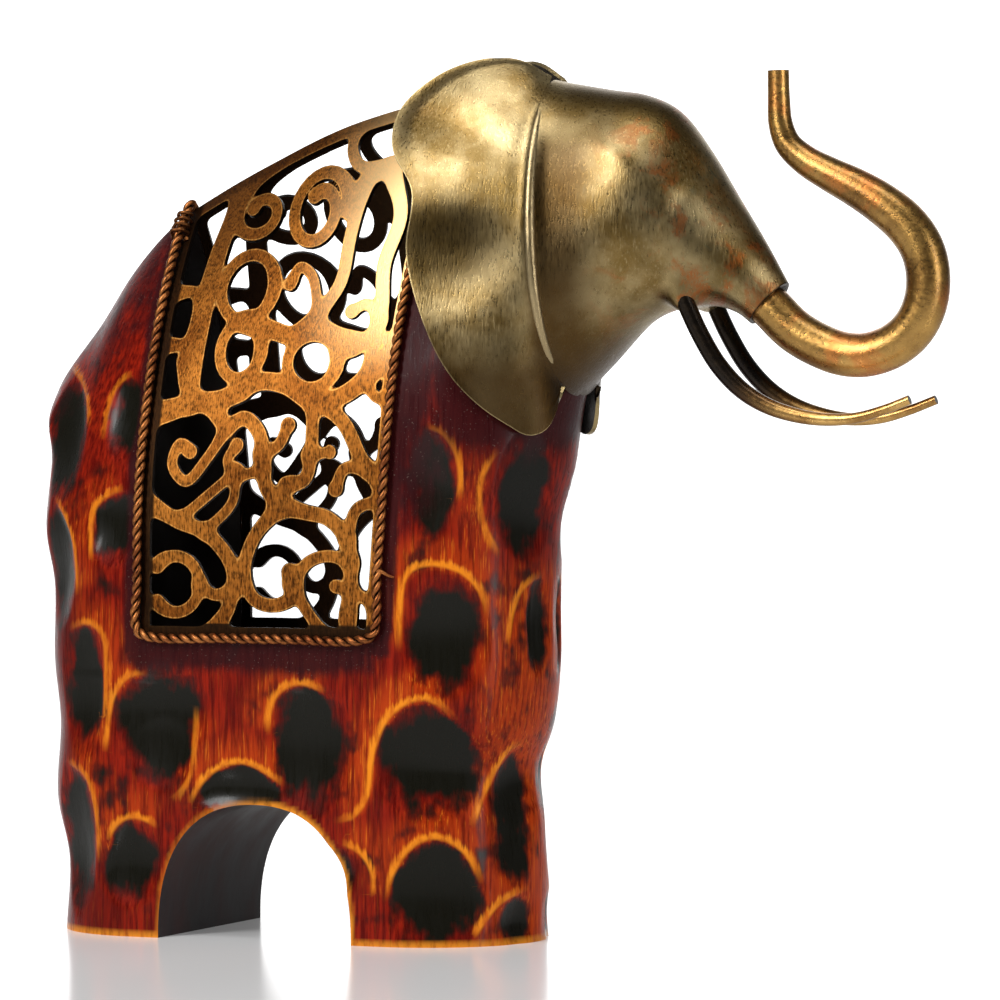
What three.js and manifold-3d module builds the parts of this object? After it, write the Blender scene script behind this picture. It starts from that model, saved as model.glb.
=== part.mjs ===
// Wrought iron elephant sculpture, in millimetres, +Z up, facing +X, standing on z = 0.
// The body is a hollow sheet shell, open at the saddle; the head and ears are a second shell.
import * as THREE from 'three';
import { mergeVertices } from 'three/addons/utils/BufferGeometryUtils.js';
import Module from 'manifold-3d';

// Driving dimensions
const FIGURE_HEIGHT = 265;
const BODY_THICKNESS = 72;
const HEAD_WIDTH = 62;
const SHEET = 1.2;
const SOLE = 1.5;
const CLEARANCE = 0.35;
const DENT_DEPTH = 2.4;
const END_ROUNDING = 36;
const RIDGE_ROUNDING = 98;
const SADDLE_SHEET = 1.4;
const SADDLE_BORDER = 3;
const SADDLE_RIDGE_BAND = 4;
const ROPE_DIAMETER = 3.2;
const NECK_GAP = 1.6;
const EAR_SHEET = 1.4;
const EAR_STAND_OFF_TIP = 2.1;
const EAR_STAND_OFF_BACK = 5.2;
const EAR_RIB_DIAMETER = 3.6;
const TRUNK_DIAMETER = 13;
const TRUNK_TIP_DIAMETER = 6.4;
const TUSK_DIAMETER = 5.4;
const TUSK_TIP_DIAMETER = 2.8;
const TUSK_SPACING = 24;

// The free form is drawn in parts of the figure's height, 265 to the whole height.
const UNIT = FIGURE_HEIGHT / 265;
const HALF = BODY_THICKNESS / 2;
const drawn = (points) => points.map((point) => point.map((value) => value * UNIT));

// Side outline of the body, as [height, distance forward]
const REAR_OUTLINE = drawn([
  [0, -138], [22, -137], [41, -141], [64, -140], [83, -142], [106, -142], [123, -145], [145, -143.5],
  [159, -146], [168, -144], [186, -130], [203, -118], [217, -104], [226, -89], [235, -71], [245, -48],
  [251, -27], [254.5, -9], [256, 4],
]);
const FRONT_OUTLINE = drawn([
  [0, 17], [35, 17], [52, 15], [66, 19], [84, 21], [103, 21], [124, 22], [142, 26], [153, 27.5],
  [169, 32], [185, 41], [205, 44], [225, 41], [240, 33], [250, 20], [256, 4.5],
]);
const BODY_TOP = 255 * UNIT;
const NECK_START = 22 * UNIT;
const CHEST_HEIGHT = 148 * UNIT;
const THROAT_HEIGHT = 172 * UNIT;
const BODY_ROWS = 24;
const BODY_COLUMNS = 17;
const BODY_END_BUNCHING = 0.7;

// Arch between the two pairs of legs
const ARCH_CENTRE = -61 * UNIT;
const ARCH_WIDTH = 64;
const ARCH_HEIGHT = 41;
const ARCH_SQUARENESS = 2.4;
const ARCH_STEPS = 20;

// Hammered dents on the near side, as [forward, out, up, reach]; the far side mirrors them.
const DENTS = drawn([
  [-91, 36, 69, 14], [-42, 36, 60, 17], [-64, 36, 50, 12], [-104, 36, 22, 13], [-2, 33, 55, 17],
  [0, 31, 15, 17], [3, 33, 92, 16], [0, 35, 135, 15], [15, 14, 33, 14], [19, 13, 93, 13], [24, 12, 130, 14],
  [-140, 10, 115, 15], [-137, 16, 78, 14], [-138, 12, 33, 14], [-143, 8, 150, 14], [-122, 27, 158, 13],
]);

// Saddle, as [distance forward, height] of its four corners
const SADDLE_REAR = -99 * UNIT;
const SADDLE_FRONT_FOOT = -21 * UNIT;
const SADDLE_FRONT_TOP = -9 * UNIT;
const SADDLE_FOOT = 91 * UNIT;
const SADDLE_STATIONS = 4;
const SADDLE_OVERRUN = 2 * UNIT;
const SADDLE_DROPS = [50, 26, 9].map((drop) => drop * UNIT);
const RIDGE_STEPS = 8;
const STROKE_STEP = 11 * UNIT;
const RING_STEP_DEGREES = 40;

// Rope steps in all and up each edge, and where it is held along the foot of the saddle
const ROPE_STEPS = 60;
const ROPE_SIDES = 5;
const ROPE_CLIMB_STEPS = 9;
const ROPE_FOOT_SHARES = [0.06, 0.35, 0.65, 0.94];

// Head sections from the ear rib to the snout, as [top x, top z, bottom x, bottom z, width share]
const HEAD_SECTIONS = [
  [23, 258, 30, 164, 1], [40, 255, 38, 172, 0.93], [52, 253, 50, 184, 0.82], [62, 248, 60, 189, 0.7],
  [71, 237, 68, 190, 0.58], [80, 223, 75, 190, 0.46], [89, 209, 81, 188, 0.34], [96, 197, 85, 185, 0.24],
];
const HEAD_SIDES = 16;

// Outer edge of the near ear, from its top to the throat, as [forward, out, up]
const EAR_EDGE = drawn([
  [23, 5, 259], [14, 8, 264], [4, 11, 264.5], [-9, 15, 260], [-20, 19, 250], [-19, 28, 238], [-10, 34, 224],
  [-11, 36, 206], [-4, 38, 184], [3, 36, 170], [11, 33, 161], [18, 27, 155], [23, 20, 152],
  [27.5, 14, 157], [31, 15, 169],
]);
const EAR_ROWS = 14;
const EAR_COLUMNS = 4;

// Centre line of the trunk, from inside the snout to the tip, as [forward, up]
const TRUNK_LINE = drawn([
  [86, 194], [91, 189.5], [98, 183], [106, 178.5], [113.5, 176], [121, 175.8], [129, 178.5], [135, 183.5],
  [138.6, 190.5], [139.5, 199], [137.5, 207], [132.5, 214], [125, 220], [117, 224.8], [109, 228.8],
  [101.5, 233], [96, 238], [93.7, 244], [93.2, 251], [93, 259.5],
]);
const TRUNK_TAPER_START = 0.55;
const TRUNK_STEPS = 24;
const TRUNK_SIDES = 9;

// Centre line of a tusk, from inside the jaw to the tip, as [forward, up]
const TUSK_LINE = drawn([
  [66, 197], [69, 190], [73.5, 181], [79, 172.5], [86, 165.5], [94, 160.8], [103, 158], [112, 156.8],
  [121, 157.2], [130, 159.6], [138, 162.6],
]);
const TUSK_TAPER_START = 0.3;
const TUSK_STEPS = 12;
const TUSK_SIDES = 7;

const lerp = (a, b, t) => a + (b - a) * t;
const clamp = (value, low, high) => Math.min(high, Math.max(low, value));
const ease = (t) => t * t * (3 - 2 * t);
const smooth = (value, low, high) => ease(clamp((value - low) / (high - low), 0, 1));

// A smooth function through points [key, value] whose keys rise
function through(points) {
  const slopeAt = (i) => {
    const before = points[Math.max(0, i - 1)];
    const after = points[Math.min(points.length - 1, i + 1)];
    return (after[1] - before[1]) / (after[0] - before[0]);
  };
  return (key) => {
    let i = 0;
    while (i < points.length - 2 && key > points[i + 1][0]) i += 1;
    const [start, end] = [points[i], points[i + 1]];
    const span = end[0] - start[0];
    const t = clamp((key - start[0]) / span, 0, 1);
    const leave = t * (1 - t) * (1 - t) * span * slopeAt(i);
    const arrive = t * t * (t - 1) * span * slopeAt(i + 1);
    return lerp(start[1], end[1], ease(t)) + leave + arrive;
  };
}

// Points spread evenly along a smooth curve through the given points
function curvePoints(points, count, closed = false) {
  const curve = new THREE.CatmullRomCurve3(points, closed, 'centripetal');
  return curve.getSpacedPoints(count);
}

// Closed geometry from a list of triangles, turned so that it faces out
function solidFromTriangles(vertices, triangles) {
  let volume = 0;
  for (const [a, b, c] of triangles) {
    volume += vertices[a].dot(new THREE.Vector3().crossVectors(vertices[b], vertices[c]));
  }
  const order = volume < 0 ? [0, 2, 1] : [0, 1, 2];
  const geometry = new THREE.BufferGeometry();
  const positions = vertices.flatMap((vertex) => vertex.toArray());
  geometry.setAttribute('position', new THREE.Float32BufferAttribute(positions, 3));
  geometry.setIndex(triangles.flatMap((triangle) => order.map((corner) => triangle[corner])));
  return geometry;
}

// Closed geometry through rings of equal length, with a flat fan at each end or joined end to end
function loft(rings, joined = false) {
  const sides = rings[0].length;
  const vertices = rings.flat();
  const triangles = [];
  const bands = joined ? rings.length : rings.length - 1;
  for (let ring = 0; ring < bands; ring += 1) {
    const next = (ring + 1) % rings.length;
    for (let side = 0; side < sides; side += 1) {
      const across = (side + 1) % sides;
      const corners = [[ring, side], [ring, across], [next, across], [next, side]];
      const [a, b, c, d] = corners.map(([row, column]) => row * sides + column);
      triangles.push([a, b, c], [a, c, d]);
    }
  }
  if (joined) return solidFromTriangles(vertices, triangles);
  [0, rings.length - 1].forEach((ring) => {
    const centre = new THREE.Vector3();
    rings[ring].forEach((point) => centre.addScaledVector(point, 1 / sides));
    const hub = vertices.push(centre) - 1;
    for (let side = 0; side < sides; side += 1) {
      const [a, b] = [ring * sides + side, ring * sides + ((side + 1) % sides)];
      triangles.push(ring === 0 ? [hub, b, a] : [hub, a, b]);
    }
  });
  return solidFromTriangles(vertices, triangles);
}

// Round bar along the points, with its radius as a function of the share travelled
function bar(points, radiusAt, sides, closed = false) {
  const steps = points.length - 1;
  const curve = new THREE.CatmullRomCurve3(closed ? points.slice(0, -1) : points, closed, 'centripetal');
  const frames = curve.computeFrenetFrames(steps, closed);
  const rings = [];
  for (let step = 0; step < steps + (closed ? 0 : 1); step += 1) {
    const centre = curve.getPointAt(step / steps);
    const radius = radiusAt(step / steps);
    rings.push(Array.from({ length: sides }, (_, side) => {
      const angle = (2 * Math.PI * side) / sides;
      return centre.clone()
        .addScaledVector(frames.normals[step], Math.cos(angle) * radius)
        .addScaledVector(frames.binormals[step], Math.sin(angle) * radius);
    }));
  }
  return loft(rings, closed);
}

// Block with a drawn side outline, run right across the body
function acrossBody(points) {
  const shape = new THREE.Shape(points.map(([x, z]) => new THREE.Vector2(x, z)));
  const reach = 2 * BODY_THICKNESS;
  const block = new THREE.ExtrudeGeometry(shape, { depth: reach, bevelEnabled: false });
  block.translate(0, 0, -reach / 2);
  block.rotateX(Math.PI / 2);
  return block;
}

const wasm = await Module();
wasm.setup();

function toSolid(geometry) {
  const plain = geometry.clone();
  plain.deleteAttribute('normal');
  plain.deleteAttribute('uv');
  const merged = mergeVertices(plain, 1e-4);
  const vertProperties = merged.attributes.position.array;
  return new wasm.Manifold(new wasm.Mesh({
    numProp: 3, vertProperties, triVerts: new Uint32Array(merged.index.array),
  }));
}

function toGeometry(solid) {
  const mesh = solid.getMesh();
  const geometry = new THREE.BufferGeometry();
  geometry.setAttribute('position', new THREE.Float32BufferAttribute(mesh.vertProperties, 3));
  geometry.setIndex(Array.from(mesh.triVerts));
  return geometry;
}

const joinAll = (solids) => solids.reduce((whole, solid) => whole.add(solid));

const rearEdge = through(REAR_OUTLINE);
const frontEdge = through(FRONT_OUTLINE);

// Upper outline, as rows [height, rear, front] from the top down to the hips and throat
const HIP_HEIGHT = 160 * UNIT;
const TOP_LINE = [];
for (let z = BODY_TOP + UNIT; z > HIP_HEIGHT; z -= UNIT) TOP_LINE.push([z, rearEdge(z), frontEdge(z)]);

// Height of the upper outline over a place
function topOver(x) {
  for (let i = 1; i < TOP_LINE.length; i += 1) {
    const [z, rear, front] = TOP_LINE[i];
    const [upperZ, upperRear, upperFront] = TOP_LINE[i - 1];
    if (x < upperRear && x >= rear) return lerp(upperZ, z, (upperRear - x) / (upperRear - rear));
    if (x > upperFront && x <= front) return lerp(upperZ, z, (x - upperFront) / (front - upperFront));
  }
  return x > rearEdge(HIP_HEIGHT) + UNIT && x < frontEdge(HIP_HEIGHT) ? BODY_TOP + UNIT : HIP_HEIGHT;
}

// Share of the full width at a place that lies `run` inside an end and `drop` under the top:
// the ends are round in plan, and the back is a soft ridge.
function fullness(run, drop) {
  if (run <= 0 || drop <= 0) return 0;
  const inside = (run * drop) / Math.hypot(run, drop);
  const ridge = smooth(run / (run + drop), 0.2, 0.68);
  const depth = clamp(inside / lerp(END_ROUNDING, RIDGE_ROUNDING, ridge), 0, 1);
  return (1 - (1 - depth) ** lerp(2, 2.6, ridge)) ** lerp(0.5, 1, ridge);
}

// Share of the body's thickness that is left at a place: the neck narrows to fit inside the head.
function neckShare(x, z) {
  const neckWidth = HEAD_WIDTH - 2 * (SHEET + NECK_GAP);
  const intoHead = smooth(x, 0, NECK_START) * smooth(z, CHEST_HEIGHT, THROAT_HEIGHT);
  return lerp(1, neckWidth / BODY_THICKNESS, intoHead);
}

// Half width of the plain body at a place
function halfWidth(x, z) {
  const open = 10 * FIGURE_HEIGHT;
  const drop = z > HIP_HEIGHT / 2 ? Math.max(topOver(x) - z, 0) : open;
  const rear = fullness(x - rearEdge(z), z < HIP_HEIGHT - 8 * UNIT && drop < UNIT ? open : drop);
  const front = fullness(frontEdge(z) - x, drop);
  if (rear <= 0 || front <= 0) return 0;
  return HALF * neckShare(x, z) * (rear ** -4 + front ** -4 - 1) ** -0.25;
}

// Outward direction of the near side at a place
function nearNormal(x, z) {
  const step = UNIT / 2;
  const steepest = 8;
  const slopeX = (halfWidth(x + step, z) - halfWidth(x - step, z)) / (2 * step);
  const slopeZ = (halfWidth(x, z + step) - halfWidth(x, z - step)) / (2 * step);
  return new THREE.Vector3(
    clamp(-slopeX, -steepest, steepest), -1, clamp(-slopeZ, -steepest, steepest),
  ).normalize();
}

// How far the hammer has driven the sheet in at a point of the near side
function dentAt(point) {
  let depth = 0;
  for (const [x, out, z, reach] of DENTS) {
    const away = Math.hypot(point.x - x, -point.y - out, point.z - z) / reach;
    if (away < 1) depth = Math.max(depth, (1 - away * away) ** 1.5);
  }
  return depth * DENT_DEPTH;
}

// Point of the near side, moved in along its normal
function nearPoint(x, z, inset, dented) {
  const surface = new THREE.Vector3(x, -halfWidth(x, z), z);
  const normal = nearNormal(x, z);
  const depth = inset + (dented ? dentAt(surface) : 0);
  return surface.addScaledVector(normal, -depth);
}

const mirrored = (point) => new THREE.Vector3(point.x, -point.y, point.z);

// One ring of the body at a height, round from the rear tip along the near side and back
function bodyRing(z, inset, columns, dented) {
  const [rear, front] = [rearEdge(z), frontEdge(z)];
  const near = Array.from({ length: columns + 1 }, (_, column) => {
    const even = column / columns;
    const bunched = (1 - Math.cos(Math.PI * even)) / 2;
    const x = lerp(rear, front, lerp(even, bunched, BODY_END_BUNCHING));
    const tip = column === 0 || column === columns;
    const point = nearPoint(x, z, inset, dented);
    return tip ? new THREE.Vector3(point.x, 0, z) : new THREE.Vector3(point.x, Math.min(point.y, -0.05), z);
  });
  const far = near.slice(1, -1).reverse().map((point) => new THREE.Vector3(point.x, -point.y, z));
  return [...near, ...far];
}

// The body as one closed form, from a floor height up, moved in along its normals
function bodySolid({ inset = 0, floor = 0, rows = BODY_ROWS, columns = BODY_COLUMNS, dented = false }) {
  const top = BODY_TOP - Math.max(inset, 0) * 3;
  const rings = Array.from({ length: rows + 1 }, (_, row) => (
    bodyRing(lerp(floor, top, row / rows), inset, columns, dented)
  ));
  return toSolid(loft(rings));
}

// Arch opening, grown by a margin
function archBlock(margin) {
  const [halfSpan, height] = [ARCH_WIDTH / 2 + margin, ARCH_HEIGHT + margin];
  const points = Array.from({ length: ARCH_STEPS + 1 }, (_, step) => {
    const angle = Math.PI * (1 - step / ARCH_STEPS);
    const [along, up] = [Math.cos(angle), Math.sin(angle)];
    const square = 2 / ARCH_SQUARENESS;
    return [ARCH_CENTRE + Math.sign(along) * halfSpan * Math.abs(along) ** square, height * up ** square];
  });
  points.push([ARCH_CENTRE + halfSpan, -SHEET], [ARCH_CENTRE - halfSpan, -SHEET]);
  return toSolid(acrossBody(points));
}

// Front edge of the saddle at a height
function saddleFrontAt(z) {
  const lean = (SADDLE_FRONT_TOP - SADDLE_FRONT_FOOT) / (BODY_TOP - SADDLE_FOOT);
  return SADDLE_FRONT_FOOT + lean * (z - SADDLE_FOOT);
}

// Side outline of the saddle window, taken in by a margin; it runs past the back at the top.
function saddleOutline(margin) {
  const above = FIGURE_HEIGHT + 10;
  const frontTop = saddleFrontAt(above);
  return [
    [SADDLE_REAR + margin, SADDLE_FOOT + margin], [SADDLE_FRONT_FOOT - margin, SADDLE_FOOT + margin],
    [frontTop - margin, above], [SADDLE_REAR + margin, above],
  ];
}

function bodyShell() {
  const outer = bodySolid({ dented: true }).subtract(archBlock(0));
  const cavity = bodySolid({ inset: SHEET, floor: SOLE, dented: true }).subtract(archBlock(SHEET));
  return outer.subtract(cavity).subtract(toSolid(acrossBody(saddleOutline(0))));
}

// Flat band along a drawn line, as a block across the body
function strokeBlock(points, widths) {
  const line = curvePoints(points.map(([x, z]) => new THREE.Vector3(x, 0, z)), widths.length - 1);
  const [left, right] = [[], []];
  line.forEach((point, i) => {
    const before = line[Math.max(0, i - 1)];
    const after = line[Math.min(line.length - 1, i + 1)];
    const along = after.clone().sub(before).normalize();
    const half = widths[i] / 2;
    left.push([point.x - along.z * half, point.z + along.x * half]);
    right.unshift([point.x + along.z * half, point.z - along.x * half]);
  });
  return toSolid(acrossBody([...left, ...right]));
}

// Openwork scrolls of the saddle: lines through points [forward, up], and rings as
// [centre forward, centre up, reach forward, reach up, start and sweep in degrees, end share]
const SCROLL_LINES = [
  { width: 4, line: [[-67, 238], [-76, 228], [-80, 219], [-82, 207], [-83, 190], [-85, 161]] },
  { width: 4.6, line: [[-34, 228], [-36, 212], [-37, 198], [-41, 191], [-45, 185]] },
  { width: 3.6, line: [[-57, 199], [-53, 203], [-48, 200], [-45, 192], [-45, 185]] },
  { width: 4, line: [[-96, 195], [-89, 195], [-85, 187], [-88, 180], [-95, 179]] },
  { width: 5, line: [[-26, 232], [-20, 218], [-23, 203], [-22, 188], [-25, 181], [-32, 179]] },
  { width: 3.6, line: [[-32, 189], [-27, 191], [-22, 186]] },
  { width: 4, line: [[-41, 248], [-42, 239], [-37, 233], [-26, 234], [-12, 236]] },
  { width: 4, line: [[-39, 221], [-34, 228], [-26, 232]] },
  { width: 4, line: [[-89, 174], [-87, 166], [-79, 163], [-67, 165]] },
  {
    width: 6,
    line: [[-97, 158], [-85, 161], [-74, 162], [-61, 168], [-52, 167], [-42, 162], [-32, 164], [-17, 176]],
  },
  { width: 6, line: [[-68, 186], [-60, 184], [-52, 182], [-45, 185], [-37, 182], [-31, 179]] },
  { width: 3.8, line: [[-71, 154], [-77, 145], [-84, 138], [-89, 143], [-87, 149], [-83, 147]] },
  { width: 5, line: [[-76, 160], [-71, 155], [-65, 157], [-60, 153], [-58, 146], [-57, 137], [-52, 131]] },
  { width: 3.6, line: [[-67, 149], [-70, 144], [-66, 140], [-58, 142]] },
  { width: 5, line: [[-52, 131], [-44, 129], [-36, 127], [-30, 120], [-29, 108], [-30, 97]] },
  { width: 4.6, line: [[-52, 131], [-61, 121], [-64, 111], [-61, 103], [-54, 101], [-48, 104], [-49, 111]] },
  { width: 5, line: [[-98, 132], [-86, 126], [-76, 122], [-68, 112], [-69, 101], [-76, 91]] },
  { width: 4, line: [[-79, 107], [-74, 104], [-67, 106]] },
  { width: 3.6, line: [[-67, 141], [-76, 134], [-85, 127]] },
  { width: 3.6, line: [[-67, 141], [-68, 132], [-77, 123]] },
  { width: 5, line: [[-39, 162], [-31, 155], [-25, 144], [-17, 134]] },
  { width: 4, line: [[-24, 142], [-31, 142], [-34, 136]] },
  { width: 4.6, line: [[-42, 162], [-42, 148], [-44, 139], [-50, 137]] },
  { width: 3.6, line: [[-43, 146], [-36, 147]] },
  { width: 4, line: [[-59, 146], [-53, 149], [-50, 155]] },
  { width: 4, line: [[-48, 107], [-43, 114], [-36, 116], [-29, 114]] },
  { width: 4, line: [[-48, 107], [-43, 99], [-36, 91]] },
  { width: 4, line: [[-30, 121], [-27, 130], [-17, 133]] },
  { width: 3.4, line: [[-34, 107], [-27, 105], [-20, 100]] },
];
const SCROLL_RINGS = [
  { width: 4.2, ring: [-48, 221, 10, 12, 0, 480, 0.4] },
  { width: 4, ring: [-70.5, 219.5, 8.5, 7, 180, 330, 0.4] },
  { width: 4.2, ring: [-69.5, 196.5, 9.5, 10, 0, 360, 1] },
  { width: 4.2, ring: [-69, 177.5, 7.2, 8.6, 10, 360, 1] },
  { width: 4.2, ring: [-43.5, 174, 8.5, 8, 0, 360, 1] },
  { width: 3.6, ring: [-20, 172, 4.5, 9, 0, 360, 1] },
  { width: 4, ring: [-87, 107, 8, 8.5, 140, -280, 1] },
];

// Points of a ring that may wind inwards
function ringPoints([x, z, reachX, reachZ, start, sweep, endShare]) {
  const steps = Math.ceil(Math.abs(sweep) / RING_STEP_DEGREES);
  return Array.from({ length: steps + 1 }, (_, step) => {
    const share = lerp(1, endShare, step / steps);
    const angle = THREE.MathUtils.degToRad(start + (sweep * step) / steps);
    return [x + Math.cos(angle) * reachX * share, z + Math.sin(angle) * reachZ * share];
  });
}

function scrollBlocks() {
  const rings = SCROLL_RINGS.map(({ width, ring }) => ({ width, line: ringPoints(ring) }));
  return [...SCROLL_LINES, ...rings].map(({ width, line }) => {
    const points = drawn(line);
    const length = points.slice(1).reduce((sum, [x, z], i) => (
      sum + Math.hypot(x - points[i][0], z - points[i][1])), 0);
    const steps = Math.max(2, Math.round(length / STROKE_STEP));
    return strokeBlock(points, Array(steps + 1).fill(width * UNIT));
  });
}

// Strip along the ridge of the back, which joins the two sides of the saddle
function ridgeBand() {
  const along = Array.from({ length: RIDGE_STEPS + 1 }, (_, step) => (
    lerp(SADDLE_REAR, SADDLE_FRONT_TOP, step / RIDGE_STEPS)));
  const upper = along.map((x) => [x, topOver(x) + SADDLE_RIDGE_BAND]);
  const lower = along.map((x) => [x, topOver(x) - SADDLE_RIDGE_BAND]);
  return toSolid(acrossBody([...upper, ...lower.reverse()]));
}

// Sheet that the saddle is cut from, folded over the back: a section at each station along it
function saddleSheet() {
  const rings = Array.from({ length: SADDLE_STATIONS + 1 }, (_, station) => {
    const [rear, front] = [SADDLE_REAR - SADDLE_OVERRUN, SADDLE_FRONT_TOP + SADDLE_OVERRUN];
    const x = lerp(rear, front, station / SADDLE_STATIONS);
    const ridge = topOver(x);
    const heights = [SADDLE_FOOT - UNIT, ...SADDLE_DROPS.map((drop) => ridge - drop)];
    const half = (inset) => heights.map((z) => nearPoint(x, z, inset, false));
    const fold = (inset) => [
      ...half(inset),
      new THREE.Vector3(x, 0, ridge - inset * Math.SQRT2),
      ...half(inset).reverse().map(mirrored),
    ];
    return [...fold(0), ...fold(SADDLE_SHEET).reverse()];
  });
  return toSolid(loft(rings));
}

function saddleLattice() {
  const layer = saddleSheet();
  const inside = toSolid(acrossBody(saddleOutline(CLEARANCE)));
  const opening = toSolid(acrossBody(saddleOutline(CLEARANCE + SADDLE_BORDER)));
  const border = inside.subtract(opening);
  const pattern = joinAll([border, ridgeBand(), ...scrollBlocks()]);
  return layer.intersect(inside).intersect(pattern);
}

// Point on the sheet's outside, standing off by a distance
const offSheet = (x, z, standOff) => nearPoint(x, z, -standOff, false);

// Rope laid along the edge of the saddle, over the back and down the far side
function saddleRope() {
  const lift = ROPE_DIAMETER / 2 + CLEARANCE;
  const climb = (edgeAt) => {
    const top = topOver(edgeAt(BODY_TOP)) - 4 * UNIT;
    return Array.from({ length: ROPE_CLIMB_STEPS + 1 }, (_, step) => {
      const z = lerp(SADDLE_FOOT + 2 * UNIT, top, step / ROPE_CLIMB_STEPS);
      return offSheet(edgeAt(z), z, lift);
    });
  };
  const overTop = (x) => new THREE.Vector3(x, 0, topOver(x) + lift + 0.8 * UNIT);
  const rearClimb = climb(() => SADDLE_REAR);
  const frontClimb = climb(saddleFrontAt);
  const foot = ROPE_FOOT_SHARES.map((share) => (
    offSheet(lerp(SADDLE_REAR, SADDLE_FRONT_FOOT, share), SADDLE_FOOT, lift)));
  const nearHalf = [...rearClimb.slice().reverse(), ...foot, ...frontClimb];
  const farHalf = nearHalf.map(mirrored).reverse();
  const loop = [overTop(SADDLE_REAR), ...nearHalf, overTop(SADDLE_FRONT_TOP), ...farHalf];
  const spaced = curvePoints(loop, ROPE_STEPS, true);
  return toSolid(bar(spaced, () => ROPE_DIAMETER / 2, ROPE_SIDES, true));
}

// One ring of the head: an egg-shaped section between its top and bottom points
function headRing([topX, topZ, bottomX, bottomZ, share], inset) {
  const top = new THREE.Vector3(topX, 0, topZ).multiplyScalar(UNIT);
  const bottom = new THREE.Vector3(bottomX, 0, bottomZ).multiplyScalar(UNIT);
  const centre = top.clone().add(bottom).divideScalar(2);
  const half = top.clone().sub(centre);
  const tall = half.length();
  half.multiplyScalar((tall - inset) / tall);
  const wide = (HEAD_WIDTH / 2) * share - inset;
  return Array.from({ length: HEAD_SIDES }, (_, side) => {
    const angle = (2 * Math.PI * side) / HEAD_SIDES;
    const out = -Math.sin(angle) * wide * (1 - 0.16 * Math.cos(angle));
    return centre.clone().addScaledVector(half, Math.cos(angle)).add(new THREE.Vector3(0, out, 0));
  });
}

// The head from the ear rib to the snout, moved in by an inset and run back by `past`
function headSolid(inset, past = 0) {
  const sections = HEAD_SECTIONS.map((section) => [...section]);
  if (past > 0) {
    sections[0][0] -= past;
    sections[0][2] -= past;
  }
  const rings = sections.map((section) => headRing(section, inset));
  const last = rings[rings.length - 1];
  last.forEach((point) => point.addScaledVector(new THREE.Vector3(-0.6, 0, 0.8), inset));
  return toSolid(loft(rings));
}

// The point, moved out along the body's normal until it stands off the near side by a distance
function pushedClear(point, standOff) {
  const normal = nearNormal(point.x, point.z);
  const away = (-point.y - halfWidth(point.x, point.z)) * -normal.y;
  return point.clone().addScaledVector(normal, Math.max(standOff - away, 0));
}

// Rings of a sheet with the given outer face, with its thickness behind it
function thickened(faces, thickness) {
  return faces.map((face, row) => {
    const [above, below] = [faces[Math.max(row - 1, 0)], faces[Math.min(row + 1, faces.length - 1)]];
    const behind = face.map((point, column) => {
      const [before, after] = [face[Math.max(column - 1, 0)], face[Math.min(column + 1, face.length - 1)]];
      const across = after.clone().sub(before);
      const down = below[column].clone().sub(above[column]);
      const inward = across.cross(down).normalize();
      if (inward.y < 0) inward.negate();
      return point.clone().addScaledVector(inward, thickness);
    });
    return [...face, ...behind.reverse()];
  });
}

// Near ear: a bowed sheet between the ear rib on the head and its own outer edge
function earSheet() {
  const ring = headRing(HEAD_SECTIONS[0], EAR_SHEET / 2);
  const rib = curvePoints(ring.slice(1, 8), EAR_ROWS);
  const edge = curvePoints(EAR_EDGE.map(([x, out, z]) => new THREE.Vector3(x, -out, z)), EAR_ROWS);
  const faces = rib.map((inner, row) => {
    const outer = edge[row];
    const back = 1 - smooth(row / EAR_ROWS, 0.45, 0.85);
    return Array.from({ length: EAR_COLUMNS + 1 }, (_, column) => {
      const share = lerp(-0.02, 1, column / EAR_COLUMNS);
      const point = inner.clone().lerp(outer, share);
      const standOff = lerp(EAR_STAND_OFF_TIP, EAR_STAND_OFF_BACK, back);
      return share > 0.1 ? pushedClear(point, standOff) : point;
    });
  });
  return toSolid(loft(thickened(faces, EAR_SHEET)));
}

// Raised bead along the ear rib
function earBead() {
  const ring = headRing(HEAD_SECTIONS[0], 0);
  const points = curvePoints(ring.slice(1, 7), 8);
  const radiusAt = (share) => (EAR_RIB_DIAMETER / 2) * (0.55 + 0.45 * Math.sin(Math.PI * share));
  return toSolid(bar(points, radiusAt, 5));
}

function flipped(solid) {
  const geometry = toGeometry(solid);
  geometry.scale(1, -1, 1);
  const corners = geometry.getIndex().array;
  for (let i = 0; i < corners.length; i += 3) {
    [corners[i + 1], corners[i + 2]] = [corners[i + 2], corners[i + 1]];
  }
  return toSolid(geometry);
}

function headShell() {
  const nearEar = earSheet().add(earBead());
  const shell = headSolid(0).subtract(headSolid(SHEET, SHEET * 4));
  const skin = joinAll([shell, nearEar, flipped(nearEar)]);
  const neck = bodySolid({ inset: -CLEARANCE });
  return skin.subtract(neck);
}

// Bar in the plane y = out, tapering after a share of its length
function taperedBar(line, out, { thick, thin, from, steps, sides }) {
  const points = curvePoints(line.map(([x, z]) => new THREE.Vector3(x, out, z)), steps);
  const radiusAt = (share) => lerp(thick, thin, smooth(share, from, 1)) / 2;
  return toSolid(bar(points, radiusAt, sides));
}

function trunk() {
  const size = {
    thick: TRUNK_DIAMETER, thin: TRUNK_TIP_DIAMETER, from: TRUNK_TAPER_START, steps: TRUNK_STEPS,
    sides: TRUNK_SIDES,
  };
  return taperedBar(TRUNK_LINE, 0, size).subtract(headSolid(-CLEARANCE));
}

function tusk(side) {
  const size = {
    thick: TUSK_DIAMETER, thin: TUSK_TIP_DIAMETER, from: TUSK_TAPER_START, steps: TUSK_STEPS,
    sides: TUSK_SIDES,
  };
  return taperedBar(TUSK_LINE, (side * TUSK_SPACING) / 2, size).subtract(headSolid(-CLEARANCE));
}

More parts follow.
